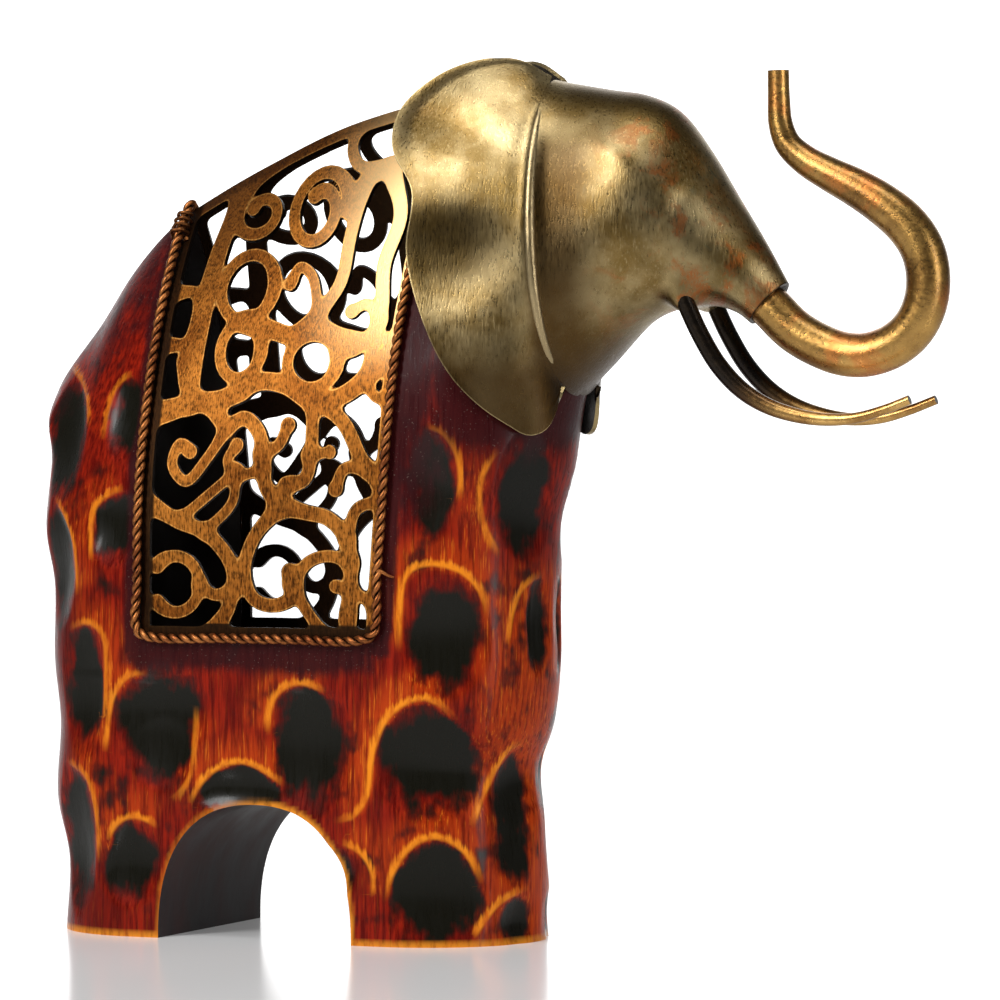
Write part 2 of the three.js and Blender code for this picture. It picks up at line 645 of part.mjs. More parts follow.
// The piece's largest body, so that no sliver from a cut is left behind
function whole(solid) {
  const bodies = solid.decompose();
  return bodies.reduce((best, body) => (body.volume() > best.volume() ? body : best));
}

const group = new THREE.Group();
function addPiece(name, solid, color, roughness, metalness) {
  const material = new THREE.MeshStandardMaterial({ color, roughness, metalness, flatShading: true });
  const mesh = new THREE.Mesh(toGeometry(whole(solid)), material);
  mesh.name = name;
  group.add(mesh);
}

addPiece('body_shell', bodyShell(), 0x8a1f10, 0.32, 0.3);
addPiece('saddle_lattice', saddleLattice(), 0xc07a2c, 0.42, 0.85);
addPiece('saddle_rope', saddleRope(), 0xa8632a, 0.45, 0.85);
addPiece('head', headShell(), 0x8f7a45, 0.38, 0.85);
addPiece('trunk', trunk(), 0xa07a3c, 0.36, 0.88);
addPiece('tusk_right', tusk(-1), 0x7d5a2a, 0.38, 0.85);
addPiece('tusk_left', tusk(1), 0x7d5a2a, 0.38, 0.85);

export default group;
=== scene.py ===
"""Wrought iron elephant: red lacquered body, openwork copper saddle, brass head, trunk and tusks.

Lengths are in millimetres until a mesh is made. The near side is -Y and the figure faces +X.
"""
import math

import bpy
import numpy as np
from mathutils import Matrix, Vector


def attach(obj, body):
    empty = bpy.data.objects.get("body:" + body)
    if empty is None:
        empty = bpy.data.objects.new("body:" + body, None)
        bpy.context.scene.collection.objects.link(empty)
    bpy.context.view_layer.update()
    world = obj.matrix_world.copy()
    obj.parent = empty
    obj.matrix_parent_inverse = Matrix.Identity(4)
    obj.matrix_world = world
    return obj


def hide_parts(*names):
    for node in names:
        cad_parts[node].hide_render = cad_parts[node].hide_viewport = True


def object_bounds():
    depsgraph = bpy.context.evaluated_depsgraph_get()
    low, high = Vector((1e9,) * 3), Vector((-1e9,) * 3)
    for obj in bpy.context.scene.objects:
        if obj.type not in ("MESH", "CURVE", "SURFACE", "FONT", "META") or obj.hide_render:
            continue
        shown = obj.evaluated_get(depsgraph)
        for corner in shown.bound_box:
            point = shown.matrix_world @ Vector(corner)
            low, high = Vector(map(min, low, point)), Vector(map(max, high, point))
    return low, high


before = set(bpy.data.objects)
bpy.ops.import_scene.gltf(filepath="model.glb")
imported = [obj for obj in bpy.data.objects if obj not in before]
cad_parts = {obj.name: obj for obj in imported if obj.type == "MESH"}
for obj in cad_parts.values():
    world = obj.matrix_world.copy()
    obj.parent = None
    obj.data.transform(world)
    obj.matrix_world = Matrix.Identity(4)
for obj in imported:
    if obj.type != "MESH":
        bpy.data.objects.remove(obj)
cad_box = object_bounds()

MM = 0.001

# Driving dimensions
BODY_THICKNESS = 72
HEAD_WIDTH = 62
SHEET = 1.2
SOLE = 1.5
END_ROUNDING = 36
RIDGE_ROUNDING = 98
NECK_GAP = 1.6
SADDLE_SHEET = 1.4
SADDLE_BORDER = 3
SADDLE_RIDGE_BAND = 4
CLEARANCE = 0.35
ROPE_DIAMETER = 3.2
STRAND_DIAMETER = 1.8
ROPE_PITCH = 6.8
EAR_SHEET = 1.4
EAR_STAND_OFF_TIP = 2.1
EAR_STAND_OFF_BACK = 5.2
RIB_DIAMETER = 3.6
RIB_PROUD = 0.12
RIB_SWELL = 1.5
RIB_REACH = 2.3
TRUNK_DIAMETER = 13
TRUNK_TIP_DIAMETER = 6.4
TUSK_DIAMETER = 5.4
TUSK_TIP_DIAMETER = 2.8
TUSK_SPACING = 24
DENT_DEPTH = 2.3
KNOT_WIRE = 1.1
KNOT_TURNS = 4
KNOT_LENGTH = 9
KNOT_LOOSENESS = 0.35
KNOT_WANDER = 2.3
KNOT_STEPS = 90
LOOSE_END_HEIGHT = 112
LOOSE_END_LENGTH = 5
LOOSE_END_RADIUS = 0.7
LOOSE_END_TIP_RADIUS = 0.35

# Side outline of the body, as (height, distance forward)
REAR_OUTLINE = [
    (0, -138), (22, -137), (41, -141), (64, -140), (83, -142), (106, -142), (123, -145), (145, -143.5),
    (159, -146), (168, -144), (186, -130), (203, -118), (217, -104), (226, -89), (235, -71), (245, -48),
    (251, -27), (254.5, -9), (256, 4),
]
FRONT_OUTLINE = [
    (0, 17), (35, 17), (52, 15), (66, 19), (84, 21), (103, 21), (124, 22), (142, 26), (153, 27.5),
    (169, 32), (185, 41), (205, 44), (225, 41), (240, 33), (250, 20), (256, 4.5),
]
BODY_TOP = 255
HIP_HEIGHT = 160
NECK_START = 22
CHEST_HEIGHT = 148
THROAT_HEIGHT = 172
BELOW_HIP = 8
RIDGE_FROM = 0.2
RIDGE_TO = 0.68
RIDGE_POWER = 2.6
LEAST_HALF_WIDTH = 0.05
BODY_ROWS = 210
BODY_COLUMNS = 160
END_CROWDING = 0.7
GIRTH_ROWS = 128
GIRTH_COLUMNS = 96

# Arch between the two pairs of legs
ARCH_CENTRE = -61
ARCH_WIDTH = 64
ARCH_HEIGHT = 41
ARCH_SQUARENESS = 2.4

# Saddle corners
SADDLE_REAR = -99
SADDLE_FRONT_FOOT = -21
SADDLE_FRONT_TOP = -9
SADDLE_FOOT = 91

# Hammered scoops: a bright crescent line (forward, up), how bright it is,
# and the dark hollow beside it as (forward, up, reach forward, reach up)
SCOOPS = [
    ([(-116, 112), (-117, 121), (-116, 130), (-111, 134), (-104, 136)], 0.7, (-108, 124, 8, 9)),
    ([(-136, 134), (-129, 127), (-125, 121), (-123, 111), (-123, 101)], 0.6, (-132, 113, 8, 15)),
    ([(-128, 92), (-118, 95), (-112, 91), (-111, 80), (-112, 62)], 0.6, (-120, 76, 8, 16)),
    ([(-111, 54), (-110, 64), (-108, 73), (-103, 79), (-95, 80)], 0.8, (-92, 69, 12, 11)),
    ([(-81, 72), (-81, 60), (-82, 50), (-85, 45), (-90, 41)], 0.5, (-92, 64, 10, 14)),
    ([(-56, 61), (-56, 68), (-53, 75), (-46, 78), (-36, 75)], 0.8, (-43, 60, 11, 16)),
    ([(-83, 39), (-79, 47), (-73, 52), (-65, 54), (-57, 51), (-50, 46)], 1.0, (-66, 46.5, 13, 6)),
    ([(-111, 27), (-109, 32), (-104, 36), (-98, 36), (-92, 33)], 0.8, (-103, 23, 8, 10)),
    ([(-130, 53), (-119, 48), (-115, 38), (-115, 20)], 0.6, (-124, 30, 8, 18)),
    ([(-37, 37), (-29, 38), (-24, 44), (-22, 57), (-18, 67), (-11, 73), (-4, 74), (4, 66)], 1.0,
     (-5, 57, 13, 14)),
    ([(-33, 31), (-26, 28), (-22, 22), (-22, 14)], 0.9, (-34, 22, 5, 6)),
    ([(-18, 12), (-16, 21), (-10, 30), (-3, 33), (4, 29), (9, 17)], 1.0, (-3, 17.5, 14, 13)),
    ([(6, 34), (8, 45), (11, 54), (14, 59), (17, 61)], 1.0, (14, 40, 7, 17)),
    ([(6, 2), (9, 8), (12, 13), (17, 17)], 0.9, (15, 7, 6, 6)),
    ([(-13, 86), (-13, 99), (-11, 111), (-5, 114), (4, 112), (9, 106), (11, 95)], 0.9, (0, 92, 10, 13)),
    ([(15, 89), (16, 100), (18, 107), (21, 111)], 0.8, (20, 96, 4, 12)),
    ([(16, 149), (13, 145), (10, 137), (10, 127), (14, 115)], 0.7, (20, 134, 8, 14)),
    ([(-6, 155), (0, 153), (4, 147), (5, 140), (4, 131)], 0.7, (-3, 138, 6, 12)),
    ([(-142, 174), (-132, 169), (-126, 163), (-122, 153)], 0.5, (-133, 151, 9, 15)),
    ([(-115, 149), (-115, 160), (-112, 168), (-106, 171)], 0.5, (-107, 158, 6, 10)),
]

SCOOP_BOWL = 1.45
SCOOP_BOWL_POWER = 1.3
SCOOP_REACH_PAST = 26
RIM_FAR = 20
GLOW_REACH = 13

# Head sections from the ear rib to the snout, as (top x, top z, bottom x, bottom z, width share)
HEAD_SECTIONS = [
    (23, 258, 30, 164, 1), (40, 255, 38, 172, 0.93), (52, 253, 50, 184, 0.82), (62, 248, 60, 189, 0.7),
    (71, 237, 68, 190, 0.58), (80, 223, 75, 190, 0.46), (89, 209, 81, 188, 0.34), (96, 197, 85, 185, 0.24),
]
HEAD_RINGS = 72
HEAD_SIDES = 96
HEAD_EGG = 0.16

# Outer edge of the near ear, from its top to the throat, as (forward, out, up)
EAR_EDGE = [
    (23, 5, 259), (14, 8, 264), (4, 11, 264.5), (-9, 15, 260), (-20, 19, 250), (-19, 28, 238), (-10, 34, 224),
    (-11, 36, 206), (-4, 38, 184), (3, 36, 170), (11, 33, 161), (18, 27, 155), (23, 23.5, 152),
    (27, 20, 153.5), (29.3, 17, 159), (29.9, 14.6, 166.5),
]
EAR_ROWS = 110
EAR_COLUMNS = 44
EAR_SMOOTHING = 6
EAR_ROOT_OVERLAP = 0.02
RIB_STEPS = 60
# Hammered swells of the ear: share down, share out from the rib, reach down and out, rise
EAR_SWELLS = [(0.25, 0.56, 0.18, 0.42, 2.4), (0.54, 0.5, 0.11, 0.38, -1.5), (0.77, 0.55, 0.11, 0.32, 1.6)]

# Brow crease of the head, as (forward, up), and the hollow cheek behind it
BROW_LINE = [(33, 250), (41, 243), (50, 235), (60, 226), (68, 221)]
BROW_RISE = 1.3
BROW_REACH = 5
CHEEK_CENTRE = (36, 212)
CHEEK_REACH = (12, 26)
CHEEK_DEPTH = 1.2
# Lip of the jaw over each tusk root, as (forward, out, up)
JAW_LIP = (67.5, 12.5, 190.5)
JAW_LIP_REACH = (4.6, 5.5, 6)
JAW_LIP_RISE = 6.5

# Centre lines of the trunk and of a tusk, from inside the head to the tip, as (forward, up)
TRUNK_LINE = [
    (86, 194), (91, 189.5), (98, 183), (106, 178.5), (113.5, 176), (121, 175.8), (129, 178.5), (135, 183.5),
    (138.6, 190.5), (139.5, 199), (137.5, 207), (132.5, 214), (125, 220), (117, 224.8), (109, 228.8),
    (101.5, 233), (96, 238), (93.7, 244), (93.2, 251), (93, 259.5),
]
TRUNK_TAPER_START = 0.55
TUSK_LINE = [
    (66, 197), (69, 190), (73.5, 181), (79, 172.5), (86, 165.5), (94, 160.8), (103, 158), (112, 156.8),
    (121, 157.2), (130, 159.6), (138, 162.6),
]
TUSK_TAPER_START = 0.3
TRUNK_STEPS = 220
TRUNK_SIDES = 40
TUSK_STEPS = 120
TUSK_SIDES = 24

# Openwork scrolls: width, then a line through points (forward, up)
SCROLL_LINES = [
    (4.4, [(-67, 238), (-76, 228), (-80, 219), (-82, 207), (-83, 190), (-85, 161)]),
    (5, [(-85, 234), (-82, 221), (-84, 207), (-86, 190), (-87, 176)]),
    (4.6, [(-34, 228), (-36, 212), (-37, 198), (-41, 191), (-45, 185)]),
    (3.6, [(-54.5, 197.5), (-52, 202.5), (-47.5, 200), (-44.5, 192), (-44.5, 185)]),
    (4, [(-96, 195), (-89, 195), (-85, 187), (-88, 180), (-95, 179)]),
    (5, [(-26, 232), (-20, 218), (-23, 203), (-22, 188), (-25, 181), (-32, 179)]),
    (3.6, [(-32, 189), (-27, 191), (-22, 186)]),
    (4, [(-41, 248), (-42, 239), (-37, 233), (-26, 234), (-12, 236)]),
    (4, [(-39, 221), (-34, 228), (-26, 232)]),
    (4, [(-89, 174), (-87, 166), (-79, 163), (-67, 165)]),
    (6, [(-97, 158), (-85, 161), (-74, 162), (-61, 168), (-52, 167), (-42, 162), (-32, 164), (-17, 176)]),
    (6, [(-68, 186), (-60, 184), (-52, 182), (-45, 185), (-37, 182), (-31, 179)]),
    (3.8, [(-71, 154), (-77, 145), (-84, 138), (-89, 143), (-87, 149), (-83, 147)]),
    (5, [(-76, 160), (-71, 155), (-65, 157), (-60, 153), (-58, 146), (-57, 137), (-52, 131)]),
    (3.6, [(-67, 149), (-70, 144), (-66, 140), (-58, 142)]),
    (5, [(-52, 131), (-44, 129), (-36, 127), (-30, 120), (-29, 108), (-30, 97)]),
    (4.6, [(-52, 131), (-61, 121), (-64, 111), (-61, 103), (-54, 101), (-48, 104), (-49, 111)]),
    (5, [(-98, 132), (-86, 126), (-76, 122), (-68, 112), (-69, 101), (-76, 91)]),
    (4, [(-79, 107), (-74, 104), (-67, 106)]),
    (3.6, [(-67, 141), (-76, 134), (-85, 127)]),
    (3.6, [(-67, 141), (-68, 132), (-77, 123)]),
    (5, [(-39, 162), (-31, 155), (-25, 144), (-17, 134)]),
    (4, [(-24, 142), (-31, 142), (-34, 136)]),
    (4.6, [(-42, 162), (-42, 148), (-44, 139), (-50, 137)]),
    (3.6, [(-43, 146), (-36, 147)]),
    (4, [(-59, 146), (-53, 149), (-50, 155)]),
    (4, [(-48, 107), (-43, 114), (-36, 116), (-29, 114)]),
    (4, [(-48, 107), (-43, 99), (-36, 91)]),
    (4, [(-30, 121), (-27, 130), (-17, 133)]),
    (3.4, [(-34, 107), (-27, 105), (-20, 100)]),
]
# Rings of the openwork: width, centre forward and up, reach forward and up, start and sweep in
# degrees, and the share of the reach that is left at the end
SCROLL_RINGS = [
    (4.4, -49, 219.5, 11, 13.5, 0, 480, 0.42),
    (4.2, -70.5, 219.5, 9.2, 8, 180, 330, 0.4),
    (4.2, -69.5, 196.5, 9.5, 10, 0, 360, 1),
    (4.2, -69, 177.5, 7.2, 8.6, 10, 360, 1),
    (4.2, -43.5, 174, 8.5, 8, 0, 360, 1),
    (3.6, -20, 172, 4.5, 9, 0, 360, 1),
    (4, -87, 107, 8, 8.5, 140, -280, 1),
]
SCROLL_JOIN = 2.4
# Width of the strip inside the saddle frame that is painted dark as shade beside the rope
SADDLE_SHADE_STRIP = 4.4
SADDLE_CELL = 0.85
STROKE_END_SWELL = 0.24
STROKE_THINNING = 0.06
ROPE_STEP = 0.62
ROPE_OVER_RIDGE = 0.8
ROPE_CLIMB_END = 4
WIRE_SIDES = 7

# Camera, matched to the photo
CAMERA_TARGET = (4, 0, 162.5)
CAMERA_AZIMUTH = 23
CAMERA_DISTANCE = 1700
CAMERA_PITCH = 1.014
CAMERA_LENS = 203.4

# Lights: size in metres, power, bearing from the camera's to the right, elevation, distance in metres
LIGHTS = {
    "key": ((0.28, 0.9), 17, -44, 34, 1.5),
    "fill": ((0.2, 1.0), 6, 50, 12, 1.5),
    "top": ((0.8, 0.3), 5, -10, 70, 1.3),
}
LIGHT_AIM = (0, 0, 0.14)
FLOOR_REACH = 30
# Brightness of the surroundings, from the camera's side to behind the figure
WORLD_DIM = 0.1
WORLD_BRIGHT = 1.7


def lerp(a, b, t):
    return a + (b - a) * t


def ease(t):
    return t * t * (3 - 2 * t)


def smooth(value, low, high):
    return ease(np.clip((value - low) / (high - low), 0, 1))


def through(points):
    """A smooth function through points (key, value) whose keys rise."""
    keys, values = np.array(points, float).T
    spans = np.diff(keys)
    ahead = np.append(np.arange(1, len(keys)), len(keys) - 1)
    behind = np.append(0, np.arange(len(keys) - 1))
    slopes = (values[ahead] - values[behind]) / (keys[ahead] - keys[behind])

    def value_at(key):
        i = np.clip(np.searchsorted(keys, key) - 1, 0, len(spans) - 1)
        t = np.clip((key - keys[i]) / spans[i], 0, 1)
        leave = t * (1 - t) ** 2 * spans[i] * slopes[i]
        arrive = t * t * (t - 1) * spans[i] * slopes[i + 1]
        return lerp(values[i], values[i + 1], ease(t)) + leave + arrive
    return value_at


def curve_points(points, count, closed=False):
    """Points spread evenly along a smooth curve through the given points."""
    points = np.array(points, float)
    if closed:
        padded = np.vstack([points[-1], points, points[:2]])
    else:
        padded = np.vstack([2 * points[0] - points[1], points, 2 * points[-1] - points[-2]])
    dense = []
    for p0, p1, p2, p3 in zip(padded, padded[1:], padded[2:], padded[3:]):
        t1, t2, t3 = np.cumsum([np.linalg.norm(b - a) ** 0.5 for a, b in ((p0, p1), (p1, p2), (p2, p3))])
        t = np.linspace(t1, t2, 13)[:-1, None]
        a1 = lerp(p0, p1, t / t1)
        a2 = lerp(p1, p2, (t - t1) / (t2 - t1))
        a3 = lerp(p2, p3, (t - t2) / (t3 - t2))
        dense.append(lerp(lerp(a1, a2, t / t2), lerp(a2, a3, (t - t1) / (t3 - t1)), (t - t1) / (t2 - t1)))
    dense = np.vstack([*dense, padded[-2]])
    travelled = np.append(0, np.cumsum(np.linalg.norm(np.diff(dense, axis=0), axis=1)))
    wanted = np.linspace(0, travelled[-1], count + 1)
    return np.column_stack([np.interp(wanted, travelled, axis) for axis in dense.T])


def unit(vectors):
    return vectors / np.maximum(np.linalg.norm(vectors, axis=-1, keepdims=True), 1e-9)


def mirrored(points):
    return points * np.array([1, -1, 1])


# Form of the body

rear_edge = through(REAR_OUTLINE)
front_edge = through(FRONT_OUTLINE)
TOP_HEIGHTS = np.arange(HIP_HEIGHT + 1, BODY_TOP + 2)
TOP_REAR = rear_edge(TOP_HEIGHTS)
WIDEST = int(np.argmax(front_edge(TOP_HEIGHTS)))
TOP_FRONT = front_edge(TOP_HEIGHTS)[WIDEST:]
OPEN = 2650


def top_over(x):
    """Height of the upper outline over a place."""
    behind = np.interp(x, TOP_REAR, TOP_HEIGHTS)
    ahead = np.interp(x, TOP_FRONT[::-1], TOP_HEIGHTS[WIDEST:][::-1])
    height = np.where(x < TOP_REAR[-1], behind, np.where(x > TOP_FRONT[-1], ahead, BODY_TOP + 1))
    return np.where((x > rear_edge(HIP_HEIGHT) + 1) & (x < TOP_FRONT[0]), height, HIP_HEIGHT)


def fullness(run, drop):
    """Share of the full width at a place `run` inside an end and `drop` under the top."""
    run = np.maximum(run, 1e-6)
    drop = np.maximum(drop, 1e-6)
    inside = run * drop / np.hypot(run, drop)
    ridge = smooth(run / (run + drop), RIDGE_FROM, RIDGE_TO)
    depth = np.clip(inside / lerp(END_ROUNDING, RIDGE_ROUNDING, ridge), 0, 1)
    return (1 - (1 - depth) ** lerp(2, RIDGE_POWER, ridge)) ** lerp(0.5, 1, ridge)


def neck_share(x, z):
    """Share of the body's thickness left at a place: the neck narrows to fit inside the head."""
    neck_width = HEAD_WIDTH - 2 * (SHEET + NECK_GAP)
    into_head = smooth(x, 0, NECK_START) * smooth(z, CHEST_HEIGHT, THROAT_HEIGHT)
    return lerp(1, neck_width / BODY_THICKNESS, into_head)


def half_width(x, z):
    """Half width of the plain body at a place."""
    drop = np.where(z > HIP_HEIGHT / 2, np.maximum(top_over(x) - z, 0), OPEN)
    rear_drop = np.where((z < HIP_HEIGHT - BELOW_HIP) & (drop < 1), OPEN, drop)
    rear = fullness(x - rear_edge(z), rear_drop)
    front = fullness(front_edge(z) - x, drop)
    return BODY_THICKNESS / 2 * neck_share(x, z) * (rear ** -4 + front ** -4 - 1) ** -0.25


def near_normal(x, z):
    """Outward direction of the near side."""
    step = 0.5
    steepest = 8
    slope_x = (half_width(x + step, z) - half_width(x - step, z)) / (2 * step)
    slope_z = (half_width(x, z + step) - half_width(x, z - step)) / (2 * step)
    slopes = np.clip([-slope_x, -slope_z], -steepest, steepest)
    return unit(np.stack([slopes[0], -np.ones_like(slope_x), slopes[1]], axis=-1))


def near_point(x, z, inset):
    """Point of the near side, moved in along its normal."""
    x, z = np.broadcast_arrays(np.asarray(x, float), np.asarray(z, float))
    surface = np.stack([x, -half_width(x, z), z], axis=-1)
    return surface - near_normal(x, z) * np.broadcast_to(inset, x.shape)[..., None]


# Hammered scoops, laid out on the unrolled side: `girth` is the way round from the arch's middle

def side_places(heights, columns):
    """Forward places along the near side of each ring, closer together towards its ends."""
    even = np.linspace(0, 1, columns + 1)
    share = lerp(even, (1 - np.cos(math.pi * even)) / 2, END_CROWDING)
    return lerp(rear_edge(heights)[:, None], front_edge(heights)[:, None], share[None, :])


GIRTH_HEIGHTS = np.linspace(0, BODY_TOP, GIRTH_ROWS)
GIRTH_PLACES = side_places(GIRTH_HEIGHTS, GIRTH_COLUMNS)
GIRTH_OUT = half_width(GIRTH_PLACES, GIRTH_HEIGHTS[:, None])
GIRTH_STEPS = np.hypot(np.diff(GIRTH_PLACES), np.diff(GIRTH_OUT))
GIRTHS = np.pad(np.cumsum(GIRTH_STEPS, axis=1), ((0, 0), (1, 0)))


def girth_at(x, z):
    """Way round the near side to a place, and the way from there past the nearer end."""
    row = np.clip(z / BODY_TOP * (len(GIRTH_HEIGHTS) - 1), 0, len(GIRTH_HEIGHTS) - 1.001)
    ways = []
    for whole_row in (row.astype(int), row.astype(int) + 1):
        places, girths = GIRTH_PLACES[whole_row], GIRTHS[whole_row]
        way = np.array([np.interp(a, p, g) for a, p, g in zip(x, places, girths)])
        middle = np.array([np.interp(ARCH_CENTRE, p, g) for p, g in zip(places, girths)])
        end = np.where(x < ARCH_CENTRE, -middle, girths[:, -1] - middle)
        ways.append(np.array([way - middle, 2 * end - (way - middle)]))
    return lerp(ways[0], ways[1], row - row.astype(int))


def along_line(points, line):
    """Distance from points to a line, the share of it travelled there, and how far aside they lie."""
    best = np.full(len(points), np.inf)
    aside = np.zeros(len(points))
    travelled = np.zeros(len(points))
    for i, (start, end) in enumerate(zip(line, line[1:])):
        step = end - start
        away = points - start
        share = np.clip(away @ step / (step @ step), 0, 1)
        distance = np.linalg.norm(away - share[:, None] * step, axis=1)
        nearer = distance < best
        best = np.where(nearer, distance, best)
        across = (step[0] * away[:, 1] - step[1] * away[:, 0]) / np.linalg.norm(step)
        aside = np.where(nearer, across, aside)
        travelled = np.where(nearer, (i + share) / (len(line) - 1), travelled)
    return best, travelled, aside


def laid_out_scoops():
    """Each scoop's crescent and hollow in girth and height."""
    scoops = []
    for line, light, (x, z, reach_x, reach_z) in SCOOPS:
        line = curve_points(line, 16)
        girth = girth_at(line[:, 0], line[:, 1])[0]
        centre = np.array([girth_at(np.array([x]), np.array([z]))[0][0], z])
        laid = np.column_stack([girth, line[:, 1]])
        inner = np.sign(along_line(centre[None, :], laid)[2][0])
        scoops.append((laid, light, centre, np.array([reach_x, reach_z]), inner))
    return scoops


def scooped(x, z):
    """Relief and paint fields of the hammered scoops at places of the near side."""
    shape = x.shape
    ways = girth_at(x.ravel(), z.ravel())
    height = z.ravel()
    depth, hollow, glow, light = np.zeros((4, height.size))
    rim = np.full(height.size, -float(RIM_FAR))
    strongest = np.zeros(height.size)
    for laid, strength, centre, reach, inner in laid_out_scoops():
        for way in ways:
            points = np.column_stack([way, height])
            near = np.all(np.abs(points - centre) < reach + SCOOP_REACH_PAST, axis=1)
            distance, share, aside = along_line(points[near], laid)
            aside = aside * inner
            radius = np.linalg.norm((points[near] - centre) / reach, axis=1)
            bowl = np.clip(1 - (radius / SCOOP_BOWL) ** 2, 0, 1) ** SCOOP_BOWL_POWER
            depth[near] = np.maximum(depth[near], bowl * smooth(aside, -0.8, 2.6))
            hollow[near] = np.maximum(hollow[near], np.clip(1.5 - radius, 0, 1) * smooth(aside, 0.2, 2))
            fade = smooth(np.minimum(share, 1 - share), 0.02, 0.22) * strength
            beside = smooth(aside, -GLOW_REACH, -0.5) * (1 - smooth(aside, 0.3, 2.6))
            beside = beside * (1 - smooth(distance, 8, 14))
            glow[near] = np.maximum(glow[near], fade * beside)
            weight = fade * np.exp(-distance / 1.5)
            wins = weight > strongest[near]
            places = np.flatnonzero(near)[wins]
            rim[places], strongest[places] = aside[wins], weight[wins]
            light[places] = (fade * (1 - smooth(distance, 2, 3.6)))[wins]
    fields = {"rim": np.clip(rim, -RIM_FAR, RIM_FAR), "light": light, "glow": glow, "hollow": hollow}
    return depth.reshape(shape) * DENT_DEPTH, {name: field.reshape(shape) for name, field in fields.items()}


# Meshes

class Build:
    """Collects the surfaces of one piece and makes it."""

    def __init__(self):
        self.points = []
        self.faces = []
        self.slots = []
        self.fields = {}
        self.count = 0

    def add(self, points, faces, slot=0, flip=False, **fields):
        """Adds a surface; fields are one number a point, or one for all its points."""
        points = np.asarray(points, float).reshape(-1, 3)
        for name in fields:
            self.fields.setdefault(name, [np.zeros(self.count)] if self.count else [])
        for name, parts in self.fields.items():
            values = np.asarray(fields.get(name, 0.0), float)
            parts.append(np.broadcast_to(values.ravel() if values.ndim else values, len(points)))
        for face in faces:
            corners = [int(corner) + self.count for corner in face]
            self.faces.append(corners[::-1] if flip else corners)
        self.slots.extend([slot] * len(faces))
        self.points.append(points)
        self.count += len(points)

    def make(self, name, materials, node, sharp_degrees=40):
        mesh = bpy.data.meshes.new(name)
        points = np.clip(np.vstack(self.points) * MM, *cad_box)
        mesh.from_pydata(points.tolist(), [], self.faces)
        for material in materials:
            mesh.materials.append(material)
        mesh.polygons.foreach_set("material_index", self.slots)
        for field, parts in self.fields.items():
            attribute = mesh.attributes.new(field, "FLOAT", "POINT")
            attribute.data.foreach_set("value", np.concatenate(parts).astype(np.float32))
        mesh.polygons.foreach_set("use_smooth", [True] * len(mesh.polygons))
        mesh.set_sharp_from_angle(angle=math.radians(sharp_degrees))
        mesh.update()
        piece = bpy.data.objects.new(name, mesh)
        bpy.context.collection.objects.link(piece)
        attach(piece, "root")
        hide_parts(node)
        return piece


def grid_faces(rows, columns, joined=False):
    """Faces of a grid of points, joined end to end across its columns if asked."""
    index = np.arange(rows * columns).reshape(rows, columns)
    after = np.roll(index, -1, axis=1) if joined else index[:, 1:]
    before = index if joined else index[:, :-1]
    corners = [before[:-1], after[:-1], after[1:], before[1:]]
    return np.stack([corner.ravel() for corner in corners], axis=1).tolist()


def cut_grid(inside, joined=False):
    """Cuts a grid of points along the zero line of a field and keeps the positive part.

    Gives the faces, and for each kept point the two grid points it lies between and its share.
    """
    rows, columns = inside.shape
    value = inside.ravel()
    first = list(range(value.size))
    second = list(range(value.size))
    share = [0.0] * value.size
    made = {}

    def crossing(a, b):
        key = (a, b) if a < b else (b, a)
        if key not in made:
            made[key] = len(first)
            low, high = key
            first.append(low)
            second.append(high)
            share.append(float(np.clip(value[low] / (value[low] - value[high]), 0.06, 0.94)))
        return made[key]

    faces = []
    kept = value > 0
    for cell in grid_faces(rows, columns, joined):
        inner = [kept[corner] for corner in cell]
        if all(inner):
            faces.append(cell)
        elif any(inner):
            face = []
            for a, b in zip(cell, cell[1:] + cell[:1]):
                if kept[a]:
                    face.append(a)
                if kept[a] != kept[b]:
                    face.append(crossing(a, b))
            faces.append(face)
    used = sorted({corner for face in faces for corner in face})
    new_place = {old: new for new, old in enumerate(used)}
    faces = [[new_place[corner] for corner in face] for face in faces]
    return faces, np.array(first)[used], np.array(second)[used], np.array(share)[used]


def along_cut(field, cut):
    """Values of a field of grid points at the kept points of a cut."""
    _, first, second, share = cut
    flat = field.reshape(-1, *field.shape[2:])
    weight = share.reshape(-1, *([1] * (flat.ndim - 1)))
    return lerp(flat[first], flat[second], weight)


def open_edges(faces):
    """Directed edges that only one face uses."""
    seen = {}
    for face in faces:
        for a, b in zip(face, face[1:] + face[:1]):
            seen[(a, b)] = True
    return [(a, b) for a, b in seen if (b, a) not in seen]


def add_rim(build, outer, inner, edges, slot, **fields):
    """Band that closes a sheet along its open edges."""
    points, faces = [], []
    for a, b in edges:
        start = len(points)
        points += [outer[b], outer[a], inner[a], inner[b]]
        faces.append([start, start + 1, start + 2, start + 3])
    build.add(points, faces, slot, **fields)


def add_tube(build, rings, closed=False, **fields):
    """Surface through rings of points, with flat ends."""
    rings = np.asarray(rings, float)
    count, sides = rings.shape[:2]
    faces = grid_faces(count, sides, joined=True)
    if closed:
        last = (count - 1) * sides
        faces += [[last + i, last + (i + 1) % sides, (i + 1) % sides, i] for i in range(sides)]
    build.add(rings, faces, **fields)
    if not closed:
        ring = list(range(sides))
        build.add(rings[0], [ring[::-1]])
        build.add(rings[-1], [ring])


# Body

def saddle_front(z):
    lean = (SADDLE_FRONT_TOP - SADDLE_FRONT_FOOT) / (BODY_TOP - SADDLE_FOOT)
    return SADDLE_FRONT_FOOT + lean * (z - SADDLE_FOOT)


def outside_window(x, z):
    """How far a place lies outside the saddle window; negative in the window."""
    return np.maximum(np.maximum(SADDLE_REAR - x, x - saddle_front(z)), SADDLE_FOOT - z)


